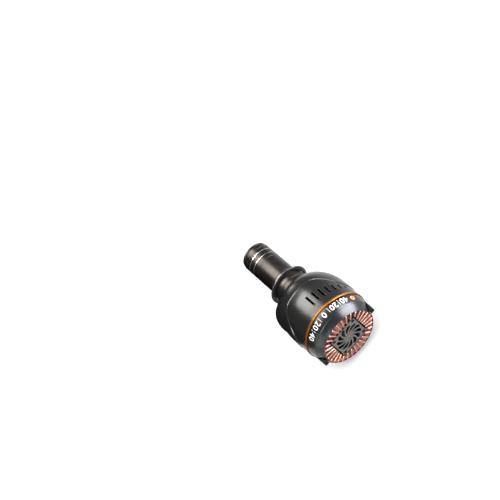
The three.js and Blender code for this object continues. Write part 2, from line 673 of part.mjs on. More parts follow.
[['right', 0], ['left', Math.PI]].forEach(([side, turn]) => {
  add(`side_lug_${side}`, lug(), look.blackPlastic).rotation.y = turn;
  add(`lug_screw_${side}`, lugScrew(), look.steel).rotation.y = turn;
});

add('hot_block', hotBlock(), look.copper);
add('peltier_module', peltierModule(), look.ceramic);
add('cold_finger', coldFinger(), look.copper);
add('chamber_housing', chamberHousing(), look.blackMetal);
add('chamber_window', chamberWindow(), look.glass);
add('window_seal', windowSeal(), look.rubber);
add('sensor_package', sensorPackage(), look.darkCeramic);
add('sensor_die', sensorDie(), look.silicon);
add('sensor_cover_glass', sensorCoverGlass(), look.glass);
add('sensor_board', sensorBoard(), look.board);
add('desiccant_capsule', desiccantCapsule(), look.ceramic);

add('shutter_plate', shutterPlate(), look.blackMetal);
add('shutter_leaf_left', shutterLeaf(-1), look.blackMetal);
add('shutter_leaf_right', shutterLeaf(1), look.blackMetal);
add('shutter_actuator', shutterActuator(), look.blackPlastic);
add('shutter_pin', shutterPin(), look.steel);

add('power_board', board(POWER_BOARD), look.board);
add('main_board', board(MAIN_BOARD), look.board);
diagonalAngles.forEach((angle, i) => add(`frame_rod_${i + 1}`, frameRod(angle), look.steel));
add('usb_socket', usbSocket(), look.steel);
add('power_socket', powerSocket(), look.blackPlastic);
add('power_socket_nut', powerSocketNut(), look.steel);

export default camera;
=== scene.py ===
import json
import math
from math import cos, pi, radians, sin

import bmesh
import bpy
from mathutils import Matrix, Vector

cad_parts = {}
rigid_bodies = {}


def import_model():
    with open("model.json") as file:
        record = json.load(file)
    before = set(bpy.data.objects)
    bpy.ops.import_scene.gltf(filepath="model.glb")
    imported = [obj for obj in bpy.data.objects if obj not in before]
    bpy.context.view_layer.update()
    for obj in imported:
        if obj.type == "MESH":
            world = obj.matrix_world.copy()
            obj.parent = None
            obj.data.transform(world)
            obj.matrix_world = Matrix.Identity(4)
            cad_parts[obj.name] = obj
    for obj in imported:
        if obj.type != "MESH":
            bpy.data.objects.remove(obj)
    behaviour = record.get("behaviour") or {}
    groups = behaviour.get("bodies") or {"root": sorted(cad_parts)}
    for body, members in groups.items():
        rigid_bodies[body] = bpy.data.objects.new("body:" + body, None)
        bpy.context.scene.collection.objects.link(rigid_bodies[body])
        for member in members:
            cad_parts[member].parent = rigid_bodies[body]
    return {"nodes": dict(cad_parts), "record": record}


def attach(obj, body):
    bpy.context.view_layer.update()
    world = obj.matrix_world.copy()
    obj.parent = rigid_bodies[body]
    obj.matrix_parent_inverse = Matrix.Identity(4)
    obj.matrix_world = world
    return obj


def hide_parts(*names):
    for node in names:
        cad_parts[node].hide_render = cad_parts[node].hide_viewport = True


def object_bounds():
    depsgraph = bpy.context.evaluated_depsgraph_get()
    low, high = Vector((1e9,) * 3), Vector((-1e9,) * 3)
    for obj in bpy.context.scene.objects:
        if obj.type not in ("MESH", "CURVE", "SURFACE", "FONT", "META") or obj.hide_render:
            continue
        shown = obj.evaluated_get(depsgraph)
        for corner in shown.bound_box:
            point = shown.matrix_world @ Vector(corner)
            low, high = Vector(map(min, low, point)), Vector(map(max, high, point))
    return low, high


# A cooled astronomy camera: the detailed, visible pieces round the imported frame.
#
# Sizes are in millimetres until object_in_metres() scales them. The optical axis is Y and the nosepiece
# points along +Y. A "station" is a distance forward from the camera's rear face. An angle round the
# axis starts at +Z and grows towards +X.

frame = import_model()
cad_low, cad_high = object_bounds()
scene = bpy.context.scene

MM = 0.001
LENGTH = 208
BODY = "camera_body"
ROUND = 256  # facets round the large turned pieces
TUBE = 192
MEDIUM = 96
SMALL = 32
SHARP = 38  # degrees between two faces from which their edge is shaded as a corner


# ---- places and outlines


def around(radius, station, degrees):
    a = radians(degrees)
    return Vector((radius * sin(a), station - LENGTH, radius * cos(a)))


def outward(degrees):
    """Places (across, station, height), where height is the distance from the axis at that angle."""
    turn = Matrix.Rotation(radians(degrees), 3, "Y")
    return lambda across, station, height: turn @ Vector((across, station - LENGTH, height))


def flat_on_axis(u, v, station):
    """Places a shape drawn in X and Z at a station."""
    return Vector((u, station - LENGTH, v))


def lerp(a, b, t):
    return a + (b - a) * t


def spaced(start, end, count):
    """Evenly spaced values, with both ends in."""
    return [lerp(start, end, i / count) for i in range(count + 1)]


def on_line(outline, station):
    """The radius of a straight-sided outline of (station, radius) points."""
    if station <= outline[0][0]:
        return outline[0][1]
    for (s0, r0), (s1, r1) in zip(outline, outline[1:]):
        if station <= s1:
            return lerp(r0, r1, (station - s0) / (s1 - s0))
    return outline[-1][1]


def on_curve(outline, station):
    """The radius of a smooth curve through (station, radius) points."""
    points = [(2 * outline[0][0] - outline[1][0], 2 * outline[0][1] - outline[1][1])]
    points += outline
    points += [(2 * outline[-1][0] - outline[-2][0], 2 * outline[-1][1] - outline[-2][1])]
    if station <= outline[0][0]:
        return outline[0][1]
    for (s0, r0), (s1, r1), (s2, r2), (s3, r3) in zip(points, points[1:], points[2:], points[3:]):
        if station <= s2:
            t = (station - s1) / (s2 - s1)
            m1 = (r2 - r0) / (s2 - s0) * (s2 - s1)
            m2 = (r3 - r1) / (s3 - s1) * (s2 - s1)
            return ((2 * t**3 - 3 * t**2 + 1) * r1 + (t**3 - 2 * t**2 + t) * m1
                    + (3 * t**2 - 2 * t**3) * r2 + (t**3 - t**2) * m2)
    return outline[-1][1]


def curve_between(outline, start, end, count):
    """Corners along a smooth outline, with both ends in."""
    return [(s, on_curve(outline, s)) for s in spaced(start, end, count)]


def filleted(corners, steps=5):
    """Rounds the corners of an outline. A corner is (station, radius) or (station, radius, fillet)."""
    most = 0.48  # of a side's length, so that two fillets on it don't meet
    rounded = []
    for i, corner in enumerate(corners):
        here = Vector(corner[:2])
        fillet = corner[2] if len(corner) > 2 else 0
        if fillet == 0:
            rounded.append(tuple(here))
            continue
        before = Vector(corners[i - 1][:2]) - here
        after = Vector(corners[(i + 1) % len(corners)][:2]) - here
        half = before.angle(after) / 2
        reach = min(fillet / math.tan(half), before.length * most, after.length * most)
        start, end = here + before.normalized() * reach, here + after.normalized() * reach
        for t in spaced(0, 1, steps):
            rounded.append(tuple((1 - t) ** 2 * start + 2 * t * (1 - t) * here + t**2 * end))
    return rounded


def rounded_rectangle(width, height, radius, steps=6):
    points = []
    for x, z, start in ((1, 1, 0), (-1, 1, 90), (-1, -1, 180), (1, -1, 270)):
        for a in spaced(radians(start), radians(start + 90), steps):
            points.append((x * (width / 2 - radius) + radius * cos(a),
                           z * (height / 2 - radius) + radius * sin(a)))
    return points


def circle(radius, steps, x=0, z=0, start=0):
    angles = [radians(start) + 2 * pi * i / steps for i in range(steps)]
    return [(x + radius * cos(a), z + radius * sin(a)) for a in angles]


# ---- making pieces


def add_object(name, data):
    thing = bpy.data.objects.new(name, data)
    scene.collection.objects.link(thing)
    return thing


def object_in_metres(name, mesh):
    """Turns a bmesh in millimetres into an object in metres."""
    bmesh.ops.recalc_face_normals(mesh, faces=mesh.faces)
    bmesh.ops.scale(mesh, vec=(MM, MM, MM), verts=mesh.verts)
    data = bpy.data.meshes.new(name)
    mesh.to_mesh(data)
    mesh.free()
    return add_object(name, data)


def shade(data, sharp):
    """Smooth shading with corners at the edges sharper than an angle in degrees."""
    data.polygons.foreach_set("use_smooth", [True] * len(data.polygons))
    data.set_sharp_from_angle(angle=radians(sharp))


def mesh_piece(name, mesh, slot, replaces=(), body=BODY, finish=None, sharp=SHARP):
    """Turns a bmesh in millimetres into a piece that rides on a body, in its slot's finish or another."""
    bmesh.ops.remove_doubles(mesh, verts=mesh.verts, dist=1e-5)
    piece = object_in_metres(name, mesh)
    shade(piece.data, sharp)
    piece.data.materials.append((finish or FINISH[slot]).material)
    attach(piece, body)
    if replaces:
        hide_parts(*replaces)
    return piece


def soften(piece, width, segments=2, angle=35):
    """Rounds a piece's sharp edges by a bevel of that width in millimetres."""
    bevel = piece.modifiers.new("edges", "BEVEL")
    bevel.width = width * MM
    bevel.segments = segments
    bevel.limit_method = "ANGLE"
    bevel.angle_limit = radians(angle)
    bevel.harden_normals = True


def bridge(mesh, loops):
    """Joins each closed loop of vertices to the next one."""
    for here, there in zip(loops, loops[1:]):
        for j in range(len(here)):
            k = (j + 1) % len(here)
            mesh.faces.new([here[j], there[j], there[k], here[k]])


def add_spun(mesh, outline, facets, place):
    """Adds an outline of (along, radius) revolved: closed on itself, or ending on its own axis."""
    open_ended = outline[0][1] == 0 and outline[-1][1] == 0
    loops = []
    for i in range(facets):
        loops.append([mesh.verts.new(place(r, s, 360 * i / facets)) for s, r in outline])
    rows = len(outline) - 1 if open_ended else len(outline)
    for i in range(facets):
        here, there = loops[i], loops[(i + 1) % facets]
        for j in range(rows):
            k = (j + 1) % len(outline)
            corners = [here[j], there[j], there[k], here[k]]
            if outline[j][1] == 0:
                corners = [here[j], there[k], here[k]]
            elif outline[k][1] == 0:
                corners = [here[j], there[j], here[k]]
            mesh.faces.new(corners)
    return mesh


def add_turned(mesh, outline, facets=ROUND, move=(0, 0, 0)):
    """Adds an outline of (station, radius) revolved about the optical axis, or beside it."""
    return add_spun(mesh, outline, facets, lambda r, s, degrees: around(r, s, degrees) + Vector(move))


def turned(name, corners, slot, replaces=(), facets=ROUND, body=BODY, move=(0, 0, 0), finish=None):
    """A piece turned from an outline with fillets."""
    mesh = add_turned(bmesh.new(), filleted(corners), facets, move)
    return mesh_piece(name, mesh, slot, replaces, body, finish)


def add_prism(mesh, outline, low, high, place=flat_on_axis):
    """Adds a flat outline of 2-D points, swept from low to high; place() turns (u, v, w) into a point."""
    bottom = [mesh.verts.new(place(u, v, low)) for u, v in outline]
    top = [mesh.verts.new(place(u, v, high)) for u, v in outline]
    mesh.faces.new(bottom)
    mesh.faces.new(top)
    for i in range(len(outline)):
        j = (i + 1) % len(outline)
        mesh.faces.new([bottom[i], bottom[j], top[j], top[i]])
    return mesh


def prism(outline, low, high, place=flat_on_axis):
    return add_prism(bmesh.new(), outline, low, high, place)


def subtract(piece, cutter_mesh):
    """Cuts a closed bmesh in millimetres out of a piece."""
    cutter = object_in_metres("cutter", cutter_mesh)
    cutting = piece.modifiers.new("cut", "BOOLEAN")
    cutting.object = cutter
    cutting.solver = "EXACT"
    depsgraph = bpy.context.evaluated_depsgraph_get()
    result = bpy.data.meshes.new_from_object(piece.evaluated_get(depsgraph))
    piece.modifiers.remove(cutting)
    piece.data = result
    bpy.data.objects.remove(cutter)
    shade(result, SHARP)


# ---- materials

MIX_A, MIX_B, MIX_RESULT = 6, 7, 2  # a Mix node's colour sockets


class Finish:
    """A Principled material with short ways to add procedural detail."""

    def __init__(self, name, color, roughness, metallic=0.0, **inputs):
        self.material = bpy.data.materials.new(name)
        self.material.use_nodes = True
        self.nodes = self.material.node_tree.nodes
        self.links = self.material.node_tree.links
        self.shader = self.nodes["Principled BSDF"]
        self.shader.inputs["Base Color"].default_value = (*color, 1)
        self.shader.inputs["Roughness"].default_value = roughness
        self.shader.inputs["Metallic"].default_value = metallic
        for key, value in inputs.items():
            self.shader.inputs[key.replace("_", " ")].default_value = value
        self.color = color
        self.normal = None
        self.coordinates = self.nodes.new("ShaderNodeTexCoord").outputs["Object"]

    def node(self, kind, inputs, **settings):
        """Adds a node. An input is a socket to link or a value, and a colour is (red, green, blue)."""
        node = self.nodes.new("ShaderNode" + kind)
        for key, value in settings.items():
            setattr(node, key, value)
        for key, value in inputs.items():
            socket = node.inputs[key]
            if isinstance(value, bpy.types.NodeSocket):
                self.links.new(value, socket)
            else:
                socket.default_value = (*value, 1) if socket.type == "RGBA" else value
        return node

    def noise(self, scale, detail=4, stretch=None):
        """Noise in object space, with cells of about 1/scale metres."""
        where = self.coordinates
        if stretch:
            stretched = self.node("VectorMath", {0: where, 1: stretch}, operation="MULTIPLY")
            where = stretched.outputs[0]
        inputs = {"Vector": where, "Scale": scale, "Detail": detail}
        return self.node("TexNoise", inputs).outputs["Fac"]

    def ranged(self, value, low, high, start=0.3, end=0.7):
        inputs = {"Value": value, "From Min": start, "From Max": end, "To Min": low, "To Max": high}
        return self.node("MapRange", inputs).outputs["Result"]

    def mixed(self, fac, a, b):
        return self.node("Mix", {"Factor": fac, MIX_A: a, MIX_B: b}, data_type="RGBA").outputs[MIX_RESULT]

    def math(self, operation, a, b):
        return self.node("Math", {0: a, 1: b}, operation=operation).outputs[0]

    def axis_station(self):
        """The distance forward from the rear face, in metres."""
        split = self.node("SeparateXYZ", {"Vector": self.coordinates})
        return self.math("ADD", split.outputs["Y"], LENGTH * MM)

    def bump(self, height, strength, distance):
        """Adds a bump on top of those before it."""
        inputs = {"Height": height, "Strength": strength, "Distance": distance}
        if self.normal is not None:
            inputs["Normal"] = self.normal
        self.normal = self.node("Bump", inputs).outputs["Normal"]
        self.set("Normal", self.normal)

    def set(self, name, socket):
        self.links.new(socket, self.shader.inputs[name])

    def edge_wear(self, color, radius, amount):
        """Brightens convex edges, broken up by noise."""
        bevel = self.node("Bevel", {"Radius": radius}, samples=4)
        normal = self.node("NewGeometry", {}).outputs["Normal"]
        dot = self.node("VectorMath", {0: bevel.outputs[0], 1: normal}, operation="DOT_PRODUCT")
        edge = self.ranged(dot.outputs["Value"], 1, 0, 0.9, 0.995)
        spread = self.ranged(self.noise(400, 6), 0.2, 1, 0.42, 0.6)
        share = self.math("MULTIPLY", self.math("MULTIPLY", edge, spread), amount)
        self.set("Base Color", self.mixed(share, self.color, color))


def painted(name, color, edge_share=0.5, edge_reach=0.00025, edge_color=None):
    """Satin paint over metal: fine orange peel, faint cloudiness and lighter convex edges, which stand for
    rubbed paint and, where a caller widens them, for a painted highlight.
    """
    roughness = 0.27
    f = Finish(name, color, roughness, Specular_IOR_Level=0.3)
    f.set("Roughness", f.ranged(f.noise(38, 5), roughness - 0.035, roughness + 0.05))
    f.bump(f.noise(2600, 3), 0.06, 0.00004)
    f.bump(f.noise(240, 4), 0.05, 0.0001)
    f.edge_wear(edge_color or tuple(c * 3 + 0.02 for c in color), edge_reach, edge_share)
    return f


def anodised(name, color, roughness, depth=0.12, metallic=1.0, edge_share=0.35, **inputs):
    """Turned and anodised metal: fine rings left by the tool, and rubbed edges."""
    f = Finish(name, color, roughness, metallic, **inputs)
    rings_per_metre = 5200
    along = f.math("MULTIPLY", f.axis_station(), rings_per_metre)
    rings = f.node("TexNoise", {"W": along, "Scale": 1, "Detail": 3}, noise_dimensions="1D")
    f.bump(rings.outputs["Fac"], depth, 0.00003)
    f.set("Roughness", f.ranged(f.noise(60, 5), roughness - 0.05, roughness + 0.08))
    f.edge_wear(tuple(c * 1.5 + 0.06 for c in color), 0.0002, edge_share)
    return f


def moulded(name, color, roughness, grain=0.1, specular=0.5):
    """Moulded plastic: a faint grain and cloudy gloss."""
    f = Finish(name, color, roughness, Specular_IOR_Level=specular)
    f.bump(f.noise(1800, 4), grain, 0.00006)
    f.set("Roughness", f.ranged(f.noise(45, 4), roughness - 0.04, roughness + 0.07))
    return f


def bare_metal(name, color, roughness, tint, metallic=1.0):
    """Bare metal with a brushed grain and slightly uneven colour."""
    f = Finish(name, color, roughness, metallic)
    f.bump(f.noise(900, 4, (1, 6, 1)), 0.08, 0.00004)
    f.set("Base Color", f.mixed(f.ranged(f.noise(70, 5), 0, 1), color, tint))
    f.set("Roughness", f.ranged(f.noise(120, 4), roughness - 0.06, roughness + 0.1))
    return f


def bare_copper():
    """Copper with painted shade: darker and redder with depth below the crests of the fins, and near black
    deep between them.
    """
    f = bare_metal("bare_copper", (0.4, 0.228, 0.182), 0.32, (0.34, 0.175, 0.135), 0.85)
    bright = f.shader.inputs["Base Color"].links[0].from_socket
    # Painted shade: the colour darkens with depth between the fins, and turns near black in the deepest
    # pocket.
    valley_shade = f.mixed(f.ranged(f.axis_station(), 0, 1, 0.0004, 0.003), bright, (0.25, 0.11, 0.08))
    pocket_shade = f.ranged(f.axis_station(), 0, 1, 0.006, 0.009)
    f.set("Base Color", f.mixed(pocket_shade, valley_shade, (0.02, 0.01, 0.008)))
    return f


def solder_mask():
    """Dark green solder resist over copper tracks, darkened to near black as painted shade for the inside of
    the shell, where the board is seen through the slots.
    """
    # Both colours are darker than the board's own: painted shade for the inside of the shell.
    shaded_mask_colour, shaded_track_colour = (0.003, 0.014, 0.009), (0.006, 0.03, 0.018)
    f = Finish("solder_mask", shaded_mask_colour, 0.4, Specular_IOR_Level=0.3)
    cells = f.node("TexVoronoi", {"Vector": f.coordinates, "Scale": 160}, distance="CHEBYCHEV",
                   feature="DISTANCE_TO_EDGE")
    tracks = cells.outputs["Distance"]
    f.set("Base Color", f.mixed(f.ranged(tracks, 0, 1, 0.05, 0.12), shaded_track_colour, shaded_mask_colour))
    f.bump(tracks, 0.2, 0.00005)
    return f


def sensor_silicon():
    """A sensor's surface: a fine grain, in a colour that shifts between teal and violet."""
    f = Finish("sensor_silicon", (0.05, 0.09, 0.16), 0.12, 0.7)
    sheen = f.node("LayerWeight", {"Blend": 0.35}).outputs["Facing"]
    f.set("Base Color", f.mixed(f.ranged(sheen, 0, 1, 0.1, 0.75), (0.05, 0.16, 0.2), (0.2, 0.07, 0.26)))
    f.bump(f.noise(5200, 2), 0.15, 0.00002)
    return f


def coated_glass():
    """Optical glass whose coating gives a faint green reflection."""
    f = Finish("coated_glass", (0.95, 1.0, 0.98), 0.02, Transmission_Weight=1.0, IOR=1.5,
               Coat_Weight=0.4, Coat_Roughness=0.02, Coat_Tint=(0.6, 1.0, 0.75, 1))
    f.set("Roughness", f.ranged(f.noise(90, 5), 0.01, 0.05))
    return f


CHARCOAL = (0.0032, 0.0034, 0.0042)
GRAPHITE = (0.004, 0.0038, 0.0037)

# The finish of each material slot.
FINISH = {
    "charcoal_shell": painted("satin_charcoal", CHARCOAL),
    "graphite_shell": painted("satin_graphite", GRAPHITE),
    "orange_anodised": anodised("orange_anodised", (0.185, 0.062, 0.006), 0.44, edge_share=0.12,
                                Coat_Weight=0.1, Coat_Roughness=0.3),
    "gunmetal": anodised("turned_gunmetal", (0.029, 0.0255, 0.023), 0.34, depth=0.3),
    "black_anodised": anodised("black_anodised", (0.008, 0.008, 0.009), 0.3, metallic=0.4),
    # The heat sink's copper carries painted shade between its fins.
    "copper": bare_copper(),
    "nickel": bare_metal("satin_nickel", (0.145, 0.136, 0.13), 0.38, (0.115, 0.108, 0.104)),
    "steel": bare_metal("machined_steel", (0.52, 0.52, 0.53), 0.26, (0.42, 0.42, 0.43)),
    "brass": bare_metal("sintered_brass", (0.72, 0.5, 0.2), 0.34, (0.6, 0.4, 0.16)),
    "bare_aluminium": bare_metal("bare_aluminium", (0.75, 0.75, 0.76), 0.3, (0.64, 0.64, 0.66)),
    "gloss_black": moulded("gloss_black", (0.002, 0.002, 0.0024), 0.45, 0.03, 0.06),
    "black_plastic": moulded("matt_black", (0.005, 0.005, 0.0056), 0.5, specular=0.15),
    "black_rubber": moulded("black_rubber", (0.01, 0.01, 0.01), 0.7, 0.2),
    "circuit_board": solder_mask(),
    "white_ceramic": moulded("white_ceramic", (0.7, 0.69, 0.66), 0.5),
    "dark_ceramic": moulded("dark_ceramic", (0.08, 0.07, 0.066), 0.55),
    "silicon": sensor_silicon(),
    "glass": coated_glass(),
}

# Finishes of single pieces, whose slot has another.
# The cap's paint lightens its convex edges over a wide reach: a painted highlight, standing for the catch
# light along the chamfer at the cap's rear edge.
GRAPHITE_EDGE_HIGHLIGHT = painted("satin_graphite_painted_highlight", GRAPHITE, edge_share=0.6, edge_reach=0.0006, edge_color=(0.05, 0.05, 0.048))
# A lighter metal for the thin band round the lip's rim: its colour is a painted highlight, standing for the
# catch light along the rim.
LIP_RIM_HIGHLIGHT = bare_metal("painted_highlight_metal", (0.17, 0.165, 0.16), 0.3, (0.13, 0.125, 0.12))
BLACK_STEEL = bare_metal("blackened_steel", (0.008, 0.008, 0.0085), 0.4, (0.005, 0.005, 0.0054))
GOLD = bare_metal("gold_contact", (0.9, 0.62, 0.22), 0.25, (0.8, 0.5, 0.16))
WHITE_PRINT = moulded("white_print", (0.42, 0.42, 0.41), 0.45, 0.05)
ORANGE_PRINT = moulded("orange_print", (0.85, 0.16, 0.03), 0.4, 0.05)

for entry in frame["record"]["subparts"]:
    node = frame["nodes"][entry["node"]]
    node.data.materials.clear()
    node.data.materials.append(FINISH[entry["material_slot"]].material)


# ---- rear shell, trim ring and printed marks

CREASE = 11  # the station where the rear cone meets the barrel
REAR_CONE = [(1.4, 42.3), (4, 43.95), (7.5, 45.85), (CREASE, 47.5)]
REAR_BARREL = [(CREASE, 47.85), (16, 49.1), (21, 50), (26.6, 50.65)]
TRIM = {"from": 27, "to": 30.6, "crest": 52, "crown": 0.35, "inside": 47.5}
PRINT_PROUD = 0.03
PRINT_DEPTH = 0.15
PRINT_RADIUS = 49.5  # where a degree of the printed scale is measured
TICK = {"from": 16.4, "to": 24.6, "width": 0.5}
FIGURE = {"size": 11.8, "base": 24.0, "spacing": 1.05, "bolder": 0.0472, "longest_edge": 1.2}
INDEX = {"degrees": 57, "station": 19.4, "outer": 3.3, "inner": 1.7, "steps": 48}


def rear_shell():
    outline = [(1, 42.05, 0.3)]
    outline += curve_between(REAR_CONE, 1.4, CREASE, 8)
    outline += curve_between(REAR_BARREL, CREASE + 0.35, 26.2, 10)
    outline += [(26.6, 50.55, 0.3), (26.6, 48.5), (11.2, 45.7), (4, 41.45), (1, 41.45, 0.25)]
    turned("rear_shell_skin", outline, "charcoal_shell", ["rear_shell"])


def trim_ring():
    """The orange ring between the shells, with a crowned rim."""
    middle = (TRIM["from"] + TRIM["to"]) / 2
    half = (TRIM["to"] - TRIM["from"]) / 2
    crown = [(middle + t * half, TRIM["crest"] - TRIM["crown"] * t * t) for t in spaced(-1, 1, 12)]
    outline = [(TRIM["from"], TRIM["inside"]), *crown, (TRIM["to"], TRIM["inside"])]
    turned("trim_ring_band", outline, "orange_anodised", ["trim_ring"])


def on_barrel(across, station, height):
    """Places a point of the printed scale: across is millimetres round the rear shell."""
    degrees = math.degrees(across / PRINT_RADIUS)
    return around(on_curve(REAR_BARREL, station) + height, station, degrees)


def add_tick(mesh, degrees):
    middle = radians(degrees) * PRINT_RADIUS
    stations = spaced(TICK["from"], TICK["to"], 6)
    corners = [(middle - TICK["width"] / 2, s) for s in stations]
    corners += [(middle + TICK["width"] / 2, s) for s in reversed(stations)]
    add_prism(mesh, corners, -PRINT_DEPTH, PRINT_PROUD, on_barrel)


def figure_outlines(text):
    """The filled shapes of some digits, as flat polygons in millimetres."""
    curve = bpy.data.curves.new("figure", "FONT")
    curve.body = text
    curve.size = FIGURE["size"]
    curve.align_x = "CENTER"
    curve.resolution_u = 3
    curve.offset = FIGURE["bolder"]
    curve.space_character = FIGURE["spacing"]
    holder = add_object("figure", curve)
    depsgraph = bpy.context.evaluated_depsgraph_get()
    flat = bpy.data.meshes.new_from_object(holder.evaluated_get(depsgraph))
    bpy.data.objects.remove(holder)
    return flat


def add_figure(mesh, degrees):
    """A number of the scale, bent round the rear shell."""
    middle = radians(degrees) * PRINT_RADIUS
    digits = bmesh.new()
    digits.from_mesh(figure_outlines(str(abs(degrees))))
    long_edges = [e for e in digits.edges if e.calc_length() > FIGURE["longest_edge"]]
    bmesh.ops.subdivide_edges(digits, edges=long_edges, cuts=1)
    top = {}
    bottom = {}
    for v in digits.verts:
        across, station = middle - v.co.x, FIGURE["base"] - v.co.y
        top[v] = mesh.verts.new(on_barrel(across, station, PRINT_PROUD))
        bottom[v] = mesh.verts.new(on_barrel(across, station, -PRINT_DEPTH))
    for face in digits.faces:
        mesh.faces.new([top[v] for v in face.verts])
        mesh.faces.new([bottom[v] for v in reversed(face.verts)])
    for edge in digits.edges:
        if edge.is_boundary:
            a, b = edge.verts
            mesh.faces.new([top[a], top[b], bottom[b], bottom[a]])
    digits.free()


def rotation_scale():
    """A generic scale: figures every 20 degrees, read from the front, with a tick between each two."""
    marks = bmesh.new()
    for degrees in (-30, -10, 10, 30):
        add_tick(marks, degrees)
    for degrees in (-40, -20, 0, 20, 40):
        add_figure(marks, degrees)
    mesh_piece("rotation_scale", marks, "charcoal_shell", finish=WHITE_PRINT)


def index_ring():
    """A plain ring that marks the end of the scale."""
    mesh = bmesh.new()
    middle = radians(INDEX["degrees"]) * PRINT_RADIUS
    top, bottom = PRINT_PROUD, -PRINT_DEPTH
    section = (("inner", top), ("outer", top), ("outer", bottom), ("inner", bottom))
    loops = []
    for i in range(INDEX["steps"]):
        a = 2 * pi * i / INDEX["steps"]
        loop = []
        for edge, height in section:
            across = middle + INDEX[edge] * cos(a)
            station = INDEX["station"] + INDEX[edge] * sin(a)
            loop.append(mesh.verts.new(on_barrel(across, station, height)))
        loops.append(loop)
    bridge(mesh, loops + loops[:1])
    mesh_piece("index_ring", mesh, "orange_anodised", finish=ORANGE_PRINT)


rear_shell()
trim_ring()
rotation_scale()
index_ring()

# ---- front shell with its cooling slots

PARTING_GAP = 0.6
TONGUE_ROOT = (78, 47)
TONGUE_PULLS = ((66, 35), (46, 30))
TONGUE_TIP = (46, 0)
FRONT_SHELL = [(31, 50.7), (43, 51.6), (58, 51.6), (68, 51.1), (78, 49.6)]
SHELL_WALL = 2.2
SLOT = {"from": 40.5, "length": 18.7, "least": 2.0, "width": 3, "first": 2.2, "pitch": 10.6, "count": 7}
SLOT_HALF = math.degrees(SLOT["width"] / 2 / 50.5)  # half a slot's width as an angle, at the shell's wall
SLOT_ANGLES = [bank + SLOT["first"] + k * SLOT["pitch"] for bank in (0, 180) for k in range(SLOT["count"])]
COLUMN_STEP = 1.9  # degrees between two of the shell's columns, about
ROWS = {"behind": 4, "beside": 8, "ahead": 10}  # of faces behind, beside and ahead of the slots


def tongue_points():
    """The parting line in side view, from the tongue's tip up, as (height, station)."""
    points = []
    for t in spaced(0, 1, 40):
        corners = (TONGUE_ROOT, *TONGUE_PULLS, TONGUE_TIP)
        share = ((1 - t) ** 3, 3 * t * (1 - t) ** 2, 3 * t**2 * (1 - t), t**3)
        station = sum(w * c[0] for w, c in zip(share, corners))
        height = sum(w * c[1] for w, c in zip(share, corners))
        points.append((height, station))
    return sorted(points)


TONGUE_LINE = tongue_points()


def parting_station(degrees):
    """Where the cap's rear edge lies at an angle."""
    height = abs(TRIM["crest"] * cos(radians(degrees)))
    return on_line(TONGUE_LINE, height)


def slot_length(degrees):
    """The length of the slot at an angle, or of one that would be there; it tapers towards the tongue."""
    for angle in SLOT_ANGLES:
        if abs((degrees - angle + 180) % 360 - 180) < SLOT_HALF + 0.01:
            degrees = angle
    folded = abs((degrees + 90) % 180 - 90)
    reach = cos(radians(min(1.2 * folded, 89)))
    return max(SLOT["least"], SLOT["length"] * reach**0.85)


def shell_columns():
    """The front shell's columns, as (angle, whether a slot lies between it and the next column)."""
    sides = sorted(a + side * SLOT_HALF for a in SLOT_ANGLES for side in (-1, 1))
    columns = []
    for n, (start, end) in enumerate(zip(sides, sides[1:] + [sides[0] + 360])):
        count = max(1, round((end - start) / COLUMN_STEP))
        columns += [(angle, n % 2 == 0) for angle in spaced(start, end, count)[:-1]]
    return columns


def shell_stations(degrees):
    slot_from, slot_to = SLOT["from"], SLOT["from"] + slot_length(degrees)
    front = parting_station(degrees) - PARTING_GAP
    return (spaced(FRONT_SHELL[0][0], slot_from, ROWS["behind"])[:-1]
            + spaced(slot_from, slot_to, ROWS["beside"])[:-1]
            + spaced(slot_to, front, ROWS["ahead"]))


def front_shell():
    columns = shell_columns()
    slot_rows = range(ROWS["behind"], ROWS["behind"] + ROWS["beside"])
    mesh = bmesh.new()
    outer, inner = [], []
    for degrees, _ in columns:
        points = [(on_curve(FRONT_SHELL, s), s) for s in shell_stations(degrees)]
        outer.append([mesh.verts.new(around(r, s, degrees)) for r, s in points])
        inner.append([mesh.verts.new(around(r - SHELL_WALL, s, degrees)) for r, s in points])
    last = sum(ROWS.values())
    for i, (_, slotted) in enumerate(columns):
        k = (i + 1) % len(columns)
        for j in range(last):
            if slotted and j in slot_rows:
                continue
            mesh.faces.new([outer[i][j], outer[k][j], outer[k][j + 1], outer[i][j + 1]])
            mesh.faces.new([inner[i][j + 1], inner[k][j + 1], inner[k][j], inner[i][j]])
        mesh.faces.new([outer[i][0], inner[i][0], inner[k][0], outer[k][0]])
        mesh.faces.new([outer[i][last], outer[k][last], inner[k][last], inner[i][last]])
        if slotted:
            for j in (slot_rows[0], slot_rows[-1] + 1):
                mesh.faces.new([outer[i][j], outer[k][j], inner[k][j], inner[i][j]])
            for side, neighbour in ((i, i - 1), (k, k)):
                if not columns[neighbour][1]:
                    outside, inside = outer[side], inner[side]
                    for j in slot_rows:
                        mesh.faces.new([outside[j], inside[j], inside[j + 1], outside[j + 1]])
    piece = mesh_piece("front_shell_skin", mesh, "graphite_shell", ["front_shell"])
    soften(piece, 0.35, 3)


front_shell()

# ---- front cap

CAP = [(44, 52.4), (62, 52.4), (73, 51.5), (83, 49.1), (90, 46.2), (96, 42.8), (102, 38), (105.5, 34),
       (108, 29.5), (109.3, 26.6)]
CAP_FRONT = CAP[-1][0]
FULL_SHOULDER = [(76, 50.9), (87.4, 51.2), (96, 49.5), (100.3, 47.5), (103.4, 45.1), (106.5, 40.5),
                 (108.4, 33), (CAP_FRONT, 26.6)]
SHOULDER = {"middle": -78, "half_spread": 62}
CAP_CHAMFER = {"along": 0.8, "drop": 1.0}
CAP_INNER = [(109.4, 25.5), (102.5, 25.5), (102.5, 33.5), (96, 40.2), (90, 43.6), (83, 46.5), (73, 48.9),
             (62, 49.8)]
CAP_GRID = {"round": 288, "along": 44, "crowding": 1.35}  # the rows crowd towards the front
OPENING_HEIGHTS = (45, 58)
